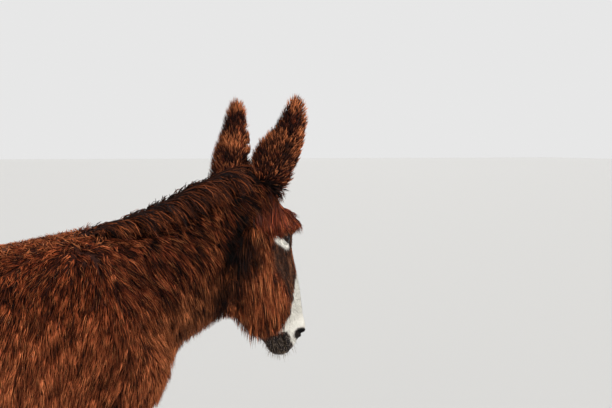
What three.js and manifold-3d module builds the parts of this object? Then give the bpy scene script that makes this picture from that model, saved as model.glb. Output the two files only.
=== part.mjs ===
// A standing donkey with a long winter coat, life size, in millimetres.
// +X is the way the trunk faces, +Y its left, +Z up. The hooves stand on Z = 0.
// The flesh is one smooth field of lofts, round cones and ellipsoids, out to the tips of the coat.
// It is meshed region by region and parted by thin flat cuts into the pieces that a person would name.
import * as THREE from "three";
import { mergeVertices } from "three/addons/utils/BufferGeometryUtils.js";
import Module from "manifold-3d";

// Driving dimensions.
const WITHERS = 1215; // height of the trunk over the shoulders
const GAP = 0.4; // left free between neighbouring pieces
const TOUCH = 0.05; // how far touching vertices are drawn into their own piece
const SIDES = { right: -1, left: 1 };

// Pose of the neck and head.
const NECK_ROOT = new THREE.Vector3(330, 0, 1000);
const NECK_END = new THREE.Vector3(790, 72, 1262);
const HEAD_AT = new THREE.Vector3(812, 78, 1318); // middle of the back of the skull
const HEAD_YAW = THREE.MathUtils.degToRad(27); // turned to the left
const HEAD_PITCH = THREE.MathUtils.degToRad(70); // nose down from level

// Head sizes, along the head's own axes: x to the muzzle, y left, z out of the forehead.
const EYE = { x: 184, y: 74, z: 40, radius: 21 };
const EAR_LENGTH = 300;
// Each ear's root in the head's axes, its lean in degrees, how far it opens to the left of straight ahead,
// and its share of the sway along its length.
const EARS = {
  right: { root: [4, -68, 38], outward: 15, forward: 13, turn: 28, sway: 1 },
  left: { root: [0, 68, -14], outward: 4, forward: 8, turn: 16, sway: 0.2 },
};
const MUZZLE_END = 590;

// How far each foot stands ahead of its leg's plain position.
const STEP = { front_right: -15, front_left: 35, rear_right: 35, rear_left: -30 };
const FRONT_KNEE = 385;
const HOCK = 458;
const LEG_Y = 118;
const FRONT_CUT = 596; // the legs' nodes end at these heights
const REAR_CUT = 622;

// ---------------------------------------------------------------- field kit

const wasm = await Module();
wasm.setup();
const { Manifold, Mesh } = wasm;

// Blends two distances over about the width given.
const blend = (a, b, width) => {
  const h = Math.max(width - Math.abs(a - b), 0) / width;
  return Math.min(a, b) - (h * h * width) / 4;
};

// Distance to a round cone from a to b, whose radius runs from ra to rb.
const roundCone = (a, b, ra, rb) => {
  const axis = new THREE.Vector3().subVectors(b, a);
  const span = axis.lengthSq();
  const toPoint = new THREE.Vector3();
  return (p) => {
    toPoint.subVectors(p, a);
    const t = Math.min(Math.max(toPoint.dot(axis) / span, 0), 1);
    return toPoint.addScaledVector(axis, -t).length() - (ra + (rb - ra) * t);
  };
};

// Distance to a limb: joints is a list of [x, y, z, radius].
const limb = (joints, width) => {
  const bones = joints.slice(1).map((to, i) => {
    const from = joints[i];
    return roundCone(
      new THREE.Vector3(...from.slice(0, 3)),
      new THREE.Vector3(...to.slice(0, 3)),
      from[3],
      to[3],
    );
  });
  return (p) => bones.reduce((d, bone) => blend(d, bone(p), width), 1e4);
};

// Distance to an ellipsoid, turned about Y by tilt, nose down.
const ellipsoid = (centre, radii, tilt = 0) => {
  const c = Math.cos(tilt);
  const s = Math.sin(tilt);
  return (p) => {
    const dx = p.x - centre[0];
    const dz = p.z - centre[2];
    const x = (dx * c - dz * s) / radii[0];
    const y = (p.y - centre[1]) / radii[1];
    const z = (dx * s + dz * c) / radii[2];
    const scaled = Math.hypot(x, y, z);
    const slope = Math.hypot(x / radii[0], y / radii[1], z / radii[2]);
    return scaled < 1e-6 ? -Math.min(...radii) : (scaled * (scaled - 1)) / slope;
  };
};

// Distance to a loft along x. Each station is [x, top, bottom, half width],
// and the section is a superellipse.
const loft = (stations, power) => {
  const at = new THREE.CubicInterpolant(
    stations.map((s) => s[0]),
    stations.flatMap((s) => s.slice(1)),
    3,
  );
  const first = stations[0][0];
  const last = stations[stations.length - 1][0];
  return (p) => {
    const [top, bottom, half] = at.evaluate(Math.min(Math.max(p.x, first), last));
    const height = (top - bottom) / 2;
    const dz = p.z - (top + bottom) / 2;
    const reach = Math.hypot(p.y, dz);
    const ratio = (Math.abs(p.y / half) ** power + Math.abs(dz / height) ** power) ** (1 / power);
    const across = ratio < 1e-3 ? -Math.min(half, height) : reach - reach / ratio;
    const beyond = Math.max(first - p.x, p.x - last);
    return beyond > 0 ? Math.hypot(beyond, Math.max(across, 0)) : Math.max(across, beyond);
  };
};

// The frame at a point whose x axis has this yaw and nose-down pitch.
const frameAt = (origin, yaw, pitch) =>
  new THREE.Matrix4()
    .makeRotationFromEuler(new THREE.Euler(0, pitch, yaw, "ZYX"))
    .setPosition(origin);

// A field written in a frame's own axes.
const within = (frame, field) => {
  const inverse = frame.clone().invert();
  const local = new THREE.Vector3();
  return (p) => field(local.copy(p).applyMatrix4(inverse));
};

const slopeOf = (field, p) => {
  const h = 0.5;
  const probe = new THREE.Vector3();
  const along = (dx, dy, dz) =>
    field(probe.set(p.x + dx, p.y + dy, p.z + dz)) - field(probe.set(p.x - dx, p.y - dy, p.z - dz));
  return new THREE.Vector3(along(h, 0, 0), along(0, h, 0), along(0, 0, h)).divideScalar(2 * h);
};

// Meshes a field's surface inside a box of the frame, with one vertex in each cell that the surface crosses.
// cells is the cell's size along each axis. grow moves the surface out by that much.
function meshField(field, frame, low, high, cells, grow = 0) {
  const count = [0, 1, 2].map((i) => Math.ceil((high[i] - low[i]) / cells[i]) + 1);
  const index = (i, j, k) => i + count[0] * (j + count[1] * k);
  const corner = (i, j, k) =>
    new THREE.Vector3(low[0] + i * cells[0], low[1] + j * cells[1], low[2] + k * cells[2]);
  const values = new Float64Array(count[0] * count[1] * count[2]);
  const isEdge = (i, j, k) =>
    [i, j, k].some((v, axis) => v === 0 || v === count[axis] - 1);
  for (let k = 0; k < count[2]; k++)
    for (let j = 0; j < count[1]; j++)
      for (let i = 0; i < count[0]; i++) {
        const value = field(corner(i, j, k).applyMatrix4(frame));
        values[index(i, j, k)] = isEdge(i, j, k) ? Math.max(value, cells[0] / 4) : value;
      }

  const cellVertex = new Map();
  const points = [];
  const cornersOfCell = [0, 1, 2, 3, 4, 5, 6, 7].map((n) => [n & 1, (n >> 1) & 1, n >> 2]);
  for (let k = 0; k < count[2] - 1; k++)
    for (let j = 0; j < count[1] - 1; j++)
      for (let i = 0; i < count[0] - 1; i++) {
        const sum = new THREE.Vector3();
        let crossings = 0;
        cornersOfCell.forEach((a, n) =>
          [1, 2, 4].forEach((bit) => {
            if (n & bit) return;
            const b = cornersOfCell[n | bit];
            const va = values[index(i + a[0], j + a[1], k + a[2])];
            const vb = values[index(i + b[0], j + b[1], k + b[2])];
            if (va < 0 === vb < 0) return;
            const from = corner(i + a[0], j + a[1], k + a[2]);
            sum.add(from.lerp(corner(i + b[0], j + b[1], k + b[2]), va / (va - vb)));
            crossings += 1;
          }),
        );
        if (!crossings) continue;
        cellVertex.set(index(i, j, k), points.length);
        points.push(sum.divideScalar(crossings).applyMatrix4(frame));
      }

  // Draws each vertex onto the surface itself, within half a cell.
  const furthest = Math.min(...cells) / 2;
  for (const point of points) {
    const start = point.clone();
    for (let turn = 0; turn < 3; turn++) {
      const slope = slopeOf(field, point);
      const steep = Math.max(slope.lengthSq(), 0.05);
      point.addScaledVector(slope, -field(point) / steep);
    }
    const moved = point.clone().sub(start);
    if (moved.length() > furthest) point.copy(start).add(moved.setLength(furthest));
    if (grow) point.addScaledVector(slopeOf(field, point).normalize(), grow);
  }

  const triangles = [];
  const addQuad = (q, turned) => {
    const [a, b, c, d] = turned ? [q[0], q[3], q[2], q[1]] : q;
    const longWay = points[a].distanceTo(points[c]) > points[b].distanceTo(points[d]);
    triangles.push(...(longWay ? [a, b, d, b, c, d] : [a, b, c, a, c, d]));
  };
  for (let k = 0; k < count[2] - 1; k++)
    for (let j = 0; j < count[1] - 1; j++)
      for (let i = 0; i < count[0] - 1; i++) {
        const here = values[index(i, j, k)] < 0;
        const crosses = (di, dj, dk) => here !== values[index(i + di, j + dj, k + dk)] < 0;
        const cell = (di, dj, dk) => cellVertex.get(index(i - di, j - dj, k - dk));
        if (j && k && crosses(1, 0, 0))
          addQuad([cell(0, 1, 1), cell(0, 0, 1), cell(0, 0, 0), cell(0, 1, 0)], !here);
        if (i && k && crosses(0, 1, 0))
          addQuad([cell(1, 0, 1), cell(1, 0, 0), cell(0, 0, 0), cell(0, 0, 1)], !here);
        if (i && j && crosses(0, 0, 1))
          addQuad([cell(1, 1, 0), cell(0, 1, 0), cell(0, 0, 0), cell(1, 0, 0)], !here);
      }
  return new Manifold(
    new Mesh({
      numProp: 3,
      vertProperties: new Float32Array(points.flatMap((p) => p.toArray())),
      triVerts: new Uint32Array(triangles),
    }),
  );
}

// A three.js geometry, placed by a matrix, as a solid.
function solidFrom(geometry, matrix = new THREE.Matrix4()) {
  const bare = geometry.clone().applyMatrix4(matrix);
  bare.deleteAttribute("normal");
  bare.deleteAttribute("uv");
  const merged = mergeVertices(bare, 1e-3);
  return new Manifold(
    new Mesh({
      numProp: 3,
      vertProperties: new Float32Array(merged.attributes.position.array),
      triVerts: new Uint32Array(merged.index.array),
    }),
  );
}

// Everything on the side of a plane that its normal points to, less half the gap.
function beyondPlane(point, normal) {
  const size = 4000;
  const way = normal.clone().normalize();
  const turn = new THREE.Quaternion().setFromUnitVectors(new THREE.Vector3(0, 0, 1), way);
  const centre = point.clone().addScaledVector(way, size / 2 + GAP / 2);
  const placed = new THREE.Matrix4().compose(centre, turn, new THREE.Vector3(1, 1, 1));
  return solidFrom(new THREE.BoxGeometry(size, size, size), placed);
}

// The largest of a solid's separate bodies, so that slivers left by a cut go.
const mainBody = (solid) =>
  solid.decompose().reduce((best, body) => (body.volume() > best.volume() ? body : best));

// ---------------------------------------------------------------- the flesh

// Trunk: [x, top, bottom, half width] from the buttocks to the breast.
const trunkField = loft(
  [
    [-620, 1030, 850, 60],
    [-585, 1095, 780, 130],
    [-520, 1148, 700, 190],
    [-400, 1190, 655, 232],
    [-250, 1188, 640, 250],
    [-100, 1180, 610, 266],
    [60, WITHERS - 34, 590, 272],
    [190, WITHERS - 12, 596, 258],
    [290, WITHERS - 5, 612, 226],
    [360, WITHERS - 8, 625, 196],
    [440, 1110, 636, 178],
    [500, 990, 652, 154],
    [538, 900, 696, 118],
    [558, 830, 748, 60],
  ],
  2.25,
);

// Shoulder and upper arm of one side, down to the elbow.
const shoulderField = (side) => {
  const blade = ellipsoid([378, side * 118, 950], [112, 82, 235], -0.42);
  const arm = limb(
    [
      [478, side * 108, 812, 80],
      [385, side * 118, 690, 84],
    ],
    40,
  );
  return (p) => blend(blade(p), arm(p), 80);
};

// Hip, thigh and buttock of one side, down to the stifle.
const haunchField = (side) => {
  const thigh = limb(
    [
      [-400, side * 120, 985, 138],
      [-345, side * 138, 760, 112],
    ],
    60,
  );
  const buttock = limb(
    [
      [-525, side * 92, 985, 92],
      [-515, side * 112, 830, 104],
      [-440, side * 122, 690, 88],
    ],
    60,
  );
  return (p) => blend(thigh(p), buttock(p), 70);
};

// Moves a leg's joints by its step, in full at the ground and not at all at the top.
const stepped = (joints, step, top) =>
  joints.map(([x, y, z, r]) => [x + step * Math.min(1, Math.max(0, (top - z) / (top - 80))), y, z, r]);

const frontLegField = (side, step) =>
  limb(
    stepped(
      [
        [362, side * 120, 690, 84],
        [366, side * LEG_Y, 560, 62],
        [376, side * LEG_Y, FRONT_KNEE + 55, 45],
        [381, side * LEG_Y, FRONT_KNEE, 46],
        [378, side * LEG_Y, FRONT_KNEE - 55, 37],
        [376, side * LEG_Y, 240, 32],
        [376, side * LEG_Y, 152, 40],
        [394, side * LEG_Y, 104, 35],
        [404, side * LEG_Y, 74, 40],
      ],
      step,
      690,
    ),
    14,
  );

const rearLegField = (side, step) => {
  const bones = limb(
    stepped(
      [
        [-405, side * 126, 700, 96],
        [-468, side * 124, 600, 66],
        [-540, side * LEG_Y, HOCK + 45, 44],
        [-562, side * LEG_Y, HOCK, 45],
        [-556, side * LEG_Y, HOCK - 62, 38],
        [-548, side * LEG_Y, 280, 33],
        [-540, side * LEG_Y, 160, 41],
        [-518, side * LEG_Y, 106, 36],
        [-506, side * LEG_Y, 76, 41],
      ],
      step,
      700,
    ),
    16,
  );
  const tendon = limb(
    stepped(
      [
        [-505, side * 122, 640, 40],
        [-590, side * LEG_Y, HOCK + 42, 22],
        [-592, side * LEG_Y, HOCK + 18, 24],
        [-570, side * LEG_Y, HOCK - 50, 24],
      ],
      step,
      700,
    ),
    14,
  );
  return (p) => blend(bones(p), tendon(p), 26);
};

// Neck, in a frame that runs along it: [share of its length, top, bottom, half width].
const neckWay = new THREE.Vector3().subVectors(NECK_END, NECK_ROOT);
const neckLength = neckWay.length();
const neckFrame = frameAt(
  NECK_ROOT,
  Math.atan2(neckWay.y, neckWay.x),
  -Math.asin(neckWay.z / neckLength),
);
const neckField = within(
  neckFrame,
  loft(
    [
      [-0.12, 190, -290, 124],
      [0.1, 188, -256, 146],
      [0.3, 150, -272, 144],
      [0.5, 124, -278, 132],
      [0.75, 106, -256, 118],
      [0.95, 98, -216, 104],
      [1.08, 84, -160, 80],
    ].map(([share, ...section]) => [share * neckLength, ...section]),
    2.1,
  ),
);

// Head, in its own frame.
const headFrame = frameAt(HEAD_AT, HEAD_YAW, HEAD_PITCH);
const skull = loft(
  [
    [-62, 20, -70, 50],
    [-30, 66, -120, 78],
    [20, 92, -155, 95],
    [80, 112, -182, 104],
    [140, 116, -202, 104],
    [200, 106, -214, 97],
    [260, 98, -218, 86],
    [330, 95, -208, 74],
    [400, 89, -176, 63],
    [455, 78, -138, 56],
    [505, 62, -110, 54],
    [536, 44, -98, 50],
    [560, 12, -86, 42],
    [580, -22, -70, 34],
    [MUZZLE_END, -34, -58, 20],
  ],
  2.2,
);
const headDetails = [
  [ellipsoid([150, 0, 105], [57, 84, 46]), 16], // hair over the brow
  ...Object.values(SIDES).flatMap((side) => [
    [ellipsoid([170, side * 56, -120], [110, 52, 84]), 30], // cheek
    [ellipsoid([EYE.x, side * (EYE.y - 5), EYE.z + 8], [48, 24, 33]), 14], // rim of the eye
    [ellipsoid([519, side * 36, 23], [38, 22, 27], 0.3), 12], // wing of the nostril
  ]),
  [ellipsoid([556, 0, -26], [25, 44, 26], 0.4), 12], // upper lip
  [ellipsoid([548, 0, -70], [35, 39, 26]), 12], // chin
];
const headField = within(headFrame, (p) =>
  headDetails.reduce((d, [detail, width]) => blend(d, detail(p), width), skull(p)),
);

const legFields = Object.entries(SIDES).flatMap(([name, side]) => [
  frontLegField(side, STEP[`front_${name}`]),
  rearLegField(side, STEP[`rear_${name}`]),
]);
const fleshField = (p) => {
  let d = blend(trunkField(p), neckField(p), 90);
  for (const side of Object.values(SIDES)) {
    d = blend(d, shoulderField(side)(p), 70);
    d = blend(d, haunchField(side)(p), 70);
  }
  for (const leg of legFields) d = blend(d, leg(p), 34);
  return blend(d, headField(p), 46);
};

// ---------------------------------------------------------------- ears, eyes, mane, tail, hooves

// The frame of an ear: x the way it opens, y across, z to its tip.
const earFrame = (name, side) => {
  const ear = EARS[name];
  const root = new THREE.Vector3(...ear.root).applyMatrix4(headFrame);
  const lean = new THREE.Euler(
    THREE.MathUtils.degToRad(-side * ear.outward),
    THREE.MathUtils.degToRad(ear.forward),
    HEAD_YAW,
    "ZYX",
  );
  const turn = new THREE.Matrix4().makeRotationZ(THREE.MathUtils.degToRad(ear.turn));
  return new THREE.Matrix4().makeRotationFromEuler(lean).multiply(turn).setPosition(root);
};

// Closes a stack of rings, each of the same number of points, into one body.
function stackRings(rings) {
  const around = rings[0].length;
  const points = rings.flat();
  const faces = [];
  const centreOf = (ring) =>
    ring.reduce((sum, p) => sum.add(p), new THREE.Vector3()).divideScalar(around);
  const bottom = points.length;
  points.push(centreOf(rings[0]), centreOf(rings[rings.length - 1]));
  const top = (rings.length - 1) * around;
  for (let n = 0; n < around; n++) {
    const m = (n + 1) % around;
    for (let r = 0; r < top; r += around)
      faces.push(r + n, r + m, r + m + around, r + n, r + m + around, r + n + around);
    faces.push(bottom, m, n, bottom + 1, top + n, top + m);
  }
  const geometry = new THREE.BufferGeometry().setFromPoints(points);
  geometry.setIndex(faces);
  return geometry;
}

// An ear is a stack of crescents:
// [height, half width, depth behind, hollow in front, bow forwards, sway to the left].
const EAR_RINGS = [
  [-60, 54, 50, -42, -4, 0],
  [0, 64, 52, -28, -4, 2],
  [45, 73, 50, 6, 0, 4],
  [90, 79, 46, 18, 3, 5],
  [130, 75, 43, 20, 5, 2],
  [165, 64, 39, 18, 7, -5],
  [200, 53, 34, 12, 8, -10],
  [232, 45, 30, 7, 8, -10],
  [264, 36, 24, 0, 7, -5],
  [288, 24, 16, -6, 5, 1],
  [EAR_LENGTH, 9, 7, -4, 3, 3],
];
const EAR_AROUND = 14;
const earGeometry = (sway) =>
  stackRings(
    EAR_RINGS.map(([z, half, deep, hollow, bow, aside]) =>
      Array.from({ length: EAR_AROUND }, (_, n) => {
        const a = (2 * Math.PI * n) / EAR_AROUND;
        const c = Math.cos(a);
        const rim = 8 * Math.sin(a) ** 4;
        const x = c < 0 ? deep * c : -hollow * c;
        return new THREE.Vector3(x + rim + bow, half * Math.sin(a) + aside * sway, z);
      }),
    ),
  );

const eyeMatrix = (side, radii) =>
  headFrame
    .clone()
    .multiply(new THREE.Matrix4().makeTranslation(EYE.x, side * EYE.y, EYE.z))
    .scale(new THREE.Vector3(...radii));
const ball = new THREE.SphereGeometry(1, 12, 7);

// Rings round a curve, square to it: joints is a list of [x, y, z, radius],
// round ones unless flattened across y.
function ringsAlong(joints, steps, around, flat = 1) {
  const path = new THREE.CatmullRomCurve3(joints.map((j) => new THREE.Vector3(...j.slice(0, 3))));
  const radius = new THREE.CubicInterpolant(
    joints.map((_, i) => i / (joints.length - 1)),
    joints.map((j) => j[3]),
    1,
  );
  const side = new THREE.Vector3(0, 1, 0);
  return Array.from({ length: steps + 1 }, (_, s) => {
    const t = s / steps;
    const out = new THREE.Vector3().crossVectors(side, path.getTangent(t)).normalize();
    const [r] = radius.evaluate(t);
    return Array.from({ length: around }, (_, n) => {
      const a = (2 * Math.PI * n) / around;
      return path
        .getPoint(t)
        .addScaledVector(out, r * Math.cos(a))
        .addScaledVector(side, r * flat * Math.sin(a));
    });
  });
}

// The mane: a ridge along the crest, in the neck's frame.
const maneGeometry = stackRings(
  ringsAlong(
    [
      [0.2, 146, 32],
      [0.32, 132, 40],
      [0.48, 112, 46],
      [0.64, 100, 50],
      [0.8, 98, 50],
      [0.95, 96, 42],
    ].map(([share, z, r]) => [share * neckLength, -6, z, r]),
    9,
    8,
    0.55,
  ),
);

// The tail hangs clear of the buttocks and ends in a tuft.
const tailGeometry = stackRings(
  ringsAlong(
    [
      [-520, 0, 1085, 36],
      [-622, 0, 1080, 35],
      [-668, 3, 1018, 32],
      [-684, 8, 900, 29],
      [-687, 14, 780, 28],
      [-685, 18, 660, 37],
      [-681, 20, 545, 44],
      [-679, 20, 450, 32],
      [-679, 20, 385, 6],
    ],
    18,
    10,
  ),
);

// A hoof is a stack of rings from the flat sole up to the coronet: [height, ahead, half length, half width].
const HOOF_TOP = 78;
const hoofGeometry = stackRings(
  [
    [0, 14, 59, 47],
    [12, 12, 58, 46.5],
    [66, 0, 45, 42],
    [HOOF_TOP, -3, 38, 36],
  ].map(([z, ahead, long, wide]) =>
    Array.from({ length: 18 }, (_, n) => {
      const a = (2 * Math.PI * n) / 18;
      const heel = Math.cos(a) < 0 ? 0.72 : 1; // blunt behind
      return new THREE.Vector3(ahead + long * heel * Math.cos(a), wide * Math.sin(a), z);
    }),
  ),
);

// ---------------------------------------------------------------- parting

// Each cut is a point and the way towards the head.
const NECK_CUT = { point: new THREE.Vector3(475, 0, 1022), ahead: new THREE.Vector3(0.82, 0.05, 0.57) };
const HEAD_CUT = {
  point: new THREE.Vector3(0, 0, 66).applyMatrix4(headFrame),
  ahead: new THREE.Vector3(0.73, 0, 0.68).transformDirection(headFrame),
};
const aheadOf = ({ point, ahead }) => beyondPlane(point, ahead);
const behind = ({ point, ahead }) => beyondPlane(point, ahead.clone().negate());
const below = (z) => beyondPlane(new THREE.Vector3(0, 0, z), new THREE.Vector3(0, 0, -1));
const above = (z) => beyondPlane(new THREE.Vector3(0, 0, z), new THREE.Vector3(0, 0, 1));

// Boxes round the legs below their cuts, which the trunk doesn't enter.
const legWell = (xLow, xHigh, top) =>
  solidFrom(
    new THREE.BoxGeometry(xHigh - xLow, 800, top + 200),
    new THREE.Matrix4().makeTranslation((xLow + xHigh) / 2, 0, (top - 200) / 2 + GAP / 2),
  );

// Where each region is meshed: its box's corners and its cells, in the region's own frame.
const world = new THREE.Matrix4();
const trunkGrid = [world, [-700, -330, 520], [720, 330, 1300], [73, 61, 60]];
const neckGrid = [neckFrame, [-160, -260, -480], [neckLength + 60, 260, 300], [52, 44, 46]];
const headGrid = [headFrame, [-120, -150, -340], [MUZZLE_END + 40, 150, 190], [31, 23.5, 23.5]];

const solids = {};
solids.trunk = mainBody(
  meshField(fleshField, ...trunkGrid)
    .subtract(legWell(200, 520, FRONT_CUT))
    .subtract(legWell(-720, -290, REAR_CUT))
    .intersect(behind(NECK_CUT)),
);
solids.neck = mainBody(
  meshField(fleshField, ...neckGrid).intersect(aheadOf(NECK_CUT)).intersect(behind(HEAD_CUT)),
);

const eyeSockets = Object.values(SIDES).map((side) =>
  solidFrom(ball, eyeMatrix(side, Array(3).fill(EYE.radius + GAP))),
);
const nostrils = Object.values(SIDES).map((side) => {
  const place = new THREE.Matrix4()
    .makeTranslation(534, side * 44, 20)
    .multiply(new THREE.Matrix4().makeRotationFromEuler(new THREE.Euler(0, 0.7, side * 0.5, "ZYX")))
    .scale(new THREE.Vector3(20, 17, 8));
  return solidFrom(ball, headFrame.clone().multiply(place));
});
const mouth = solidFrom(
  ball,
  headFrame
    .clone()
    .multiply(new THREE.Matrix4().makeTranslation(566, 0, -54))
    .multiply(new THREE.Matrix4().makeRotationY(-0.12))
    .scale(new THREE.Vector3(52, 70, 2.5)),
);
solids.head = mainBody(
  [...eyeSockets, ...nostrils, mouth].reduce(
    (solid, cutter) => solid.subtract(cutter),
    meshField(fleshField, ...headGrid).intersect(aheadOf(HEAD_CUT)),
  ),
);

// What stands on the flesh is cut clear of it by the gap.
const grownFlesh = [trunkGrid, neckGrid, headGrid].map((grid) => meshField(fleshField, ...grid, GAP));
const clearOfFlesh = (solid) => grownFlesh.reduce((rest, flesh) => rest.subtract(flesh), solid);
for (const [name, side] of Object.entries(SIDES)) {
  const ear = solidFrom(earGeometry(EARS[name].sway), earFrame(name, side));
  solids[`ear_${name}`] = mainBody(clearOfFlesh(ear));
  solids[`eye_${name}`] = solidFrom(ball, eyeMatrix(side, Array(3).fill(EYE.radius)));
}
solids.mane = mainBody(
  clearOfFlesh(solidFrom(maneGeometry, neckFrame)).subtract(solids.ear_left).subtract(solids.ear_right),
);
solids.tail = mainBody(clearOfFlesh(solidFrom(tailGeometry)));

const LEGS = {
  front: { x: 388, top: FRONT_CUT, reach: [-130, 130], hoofX: 408 },
  rear: { x: -500, top: REAR_CUT, reach: [-200, 200], hoofX: -500 },
};
const CORONET = 70;
for (const [end, leg] of Object.entries(LEGS))
  for (const [name, side] of Object.entries(SIDES)) {
    const key = `${end}_${name}`;
    const low = [leg.x + leg.reach[0], side * LEG_Y - 118, 20];
    const high = [leg.x + leg.reach[1], side * LEG_Y + 118, leg.top + 90];
    solids[`leg_${key}`] = mainBody(
      meshField(fleshField, world, low, high, [28, 28, 52])
        .intersect(below(leg.top))
        .intersect(above(CORONET)),
    );
    solids[`hoof_${key}`] = solidFrom(
      hoofGeometry,
      new THREE.Matrix4().makeTranslation(leg.hoofX + STEP[key], side * LEG_Y, 0),
    ).intersect(below(CORONET));
  }

// ---------------------------------------------------------------- the group

// The kinds of surface: [colour, roughness], by how each node's name starts.
const SURFACES = {
  eye: [0x100a07, 0.08],
  hoof: [0x2b2622, 0.55],
  mane: [0x1c0e0a, 0.7],
  tail: [0x1c0e0a, 0.7],
  "": [0x5c2c1a, 0.75],
};
const materialOf = (name) => {
  const [, [color, roughness]] = Object.entries(SURFACES).find(([start]) => name.startsWith(start));
  return new THREE.MeshStandardMaterial({ color, roughness, metalness: 0 });
};

// A solid's mesh, with vertices that only touch drawn apart so that each edge joins just two faces.
function geometryOf(solid) {
  const made = solid.getMesh();
  const vertices = new Float32Array(made.numVert * 3);
  for (let v = 0; v < made.numVert; v++)
    vertices.set(made.vertProperties.subarray(v * made.numProp, v * made.numProp + 3), v * 3);
  const geometry = new THREE.BufferGeometry();
  geometry.setAttribute("position", new THREE.BufferAttribute(vertices, 3));
  geometry.setIndex(new THREE.BufferAttribute(made.triVerts, 1));
  geometry.computeVertexNormals();
  const seen = new Map();
  const { position, normal } = geometry.attributes;
  for (let v = 0; v < position.count; v++) {
    const key = [0, 1, 2].map((c) => position.getComponent(v, c).toFixed(3)).join();
    seen.set(key, [...(seen.get(key) ?? []), v]);
  }
  for (const group of seen.values())
    if (group.length > 1)
      for (const v of group)
        for (const c of [0, 1, 2])
          position.setComponent(v, c, position.getComponent(v, c) - TOUCH * normal.getComponent(v, c));
  return geometry;
}

const donkey = new THREE.Group();
const bounds = new THREE.Box3();
for (const [name, solid] of Object.entries(solids)) {
  const geometry = geometryOf(solid);
  const mesh = new THREE.Mesh(geometry, materialOf(name));
  mesh.name = name;
  donkey.add(mesh);
  geometry.computeBoundingBox();
  bounds.union(geometry.boundingBox);
}
// The frame's origin is the middle of the ground that the body covers.
const middle = bounds.getCenter(new THREE.Vector3());
for (const mesh of donkey.children) mesh.position.set(-middle.x, -middle.y, 0);

export default donkey;
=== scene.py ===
"""A donkey with a long winter coat: one skin, its coat in tufts and locks, its eyes and hooves.

Lengths are in metres. The head's axes run to the muzzle, to the left and out of the brow. The neck's
run along it, to the left and out of the crest. An ear's run the way it opens, across it and to its tip.
"""

import math
from contextlib import contextmanager

import bmesh
import bpy
import numpy as np
from mathutils import Matrix, Vector
from mathutils.bvhtree import BVHTree
from mathutils.kdtree import KDTree


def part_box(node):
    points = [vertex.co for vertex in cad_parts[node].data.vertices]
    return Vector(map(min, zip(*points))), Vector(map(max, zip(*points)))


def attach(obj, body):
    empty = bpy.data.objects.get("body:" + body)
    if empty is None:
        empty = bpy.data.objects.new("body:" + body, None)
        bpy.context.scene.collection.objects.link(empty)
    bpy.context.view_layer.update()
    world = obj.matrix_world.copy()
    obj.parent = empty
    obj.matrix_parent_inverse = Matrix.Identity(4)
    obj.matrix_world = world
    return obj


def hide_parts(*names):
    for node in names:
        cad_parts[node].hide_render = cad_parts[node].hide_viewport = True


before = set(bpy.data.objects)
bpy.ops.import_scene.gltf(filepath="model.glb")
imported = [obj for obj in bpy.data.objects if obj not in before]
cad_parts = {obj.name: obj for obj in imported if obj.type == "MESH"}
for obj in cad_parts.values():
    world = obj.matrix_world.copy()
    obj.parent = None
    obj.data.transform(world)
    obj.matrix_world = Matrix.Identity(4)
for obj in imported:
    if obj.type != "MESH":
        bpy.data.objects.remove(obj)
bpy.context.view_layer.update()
rng = np.random.default_rng(7)
normal = rng.normal

SIDES = {"right": -1, "left": 1}
LEGS = [f"{end}_{side}" for end in ("front", "rear") for side in SIDES]
DOWN = np.array([0.0, 0.0, -1.0])

# ---- Places, from the solids

HEAD_YAW = math.radians(27)
HEAD_PITCH = math.radians(70)
EYE = np.array([0.184, 0.074, 0.040])  # the left eye, in the head's axes
EYE_RADIUS = 0.021
HEAD_PLAIN = np.array([0.812, 0.078, 1.318])  # the head's place before the model was centred
NECK_ROOT = np.array([0.330, 0.0, 1.000])
NECK_END = np.array([0.790, 0.072, 1.262])
EARS = {
    "right": {"root": (0.004, -0.068, 0.038), "outward": 15, "forward": 13, "turn": 28},
    "left": {"root": (0.0, 0.068, -0.014), "outward": 4, "forward": 8, "turn": 16},
}
EAR_LENGTH = 0.300


def turn(axis, angle):
    """A rotation matrix about a world axis."""
    return np.array(Matrix.Rotation(angle, 3, axis))


def middle(node):
    return np.mean([np.array(corner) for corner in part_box(node)], 0)


HEAD = turn("Z", HEAD_YAW) @ turn("Y", HEAD_PITCH)
head_at = (middle("eye_right") + middle("eye_left")) / 2 - HEAD @ (EYE * [1, 0, 1])
SHIFT = HEAD_PLAIN - head_at  # what centring the model took off every place
neck_way = NECK_END - NECK_ROOT
NECK_LENGTH = np.linalg.norm(neck_way)
NECK = turn("Z", math.atan2(neck_way[1], neck_way[0])) @ turn("Y", -math.asin(neck_way[2] / NECK_LENGTH))
neck_at = NECK_ROOT - SHIFT

ear_frames = {}
for ear_side, ear in EARS.items():
    lean = (
        turn("Z", HEAD_YAW)
        @ turn("Y", math.radians(ear["forward"]))
        @ turn("X", math.radians(-SIDES[ear_side] * ear["outward"]))
        @ turn("Z", math.radians(ear["turn"]))
    )
    ear_frames[ear_side] = (head_at + HEAD @ np.array(ear["root"]), lean)


def in_head(points):
    return (points - head_at) @ HEAD


def from_head(h):
    return h @ HEAD.T + head_at


def in_neck(points):
    return (points - neck_at) @ NECK


def from_neck(n):
    return n @ NECK.T + neck_at


def by_ears(points):
    """For each side, the places in its ear's axes, and which of them are by that ear."""
    for side, (at, axes) in ear_frames.items():
        x, y, z = own = ((points - at) @ axes).T
        yield side, own, (np.abs(x) < 0.07) & (np.abs(y) < 0.09) & (z < 0.32)


# ---- Numbers over points


def step(low, high, x):
    t = np.clip((x - low) / (high - low), 0, 1)
    return t * t * (3 - 2 * t)


def bump(x, centre, half):
    """1 at the centre, falling to 0 at half away from it."""
    return 1 - step(0, half, np.abs(x - centre))


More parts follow.
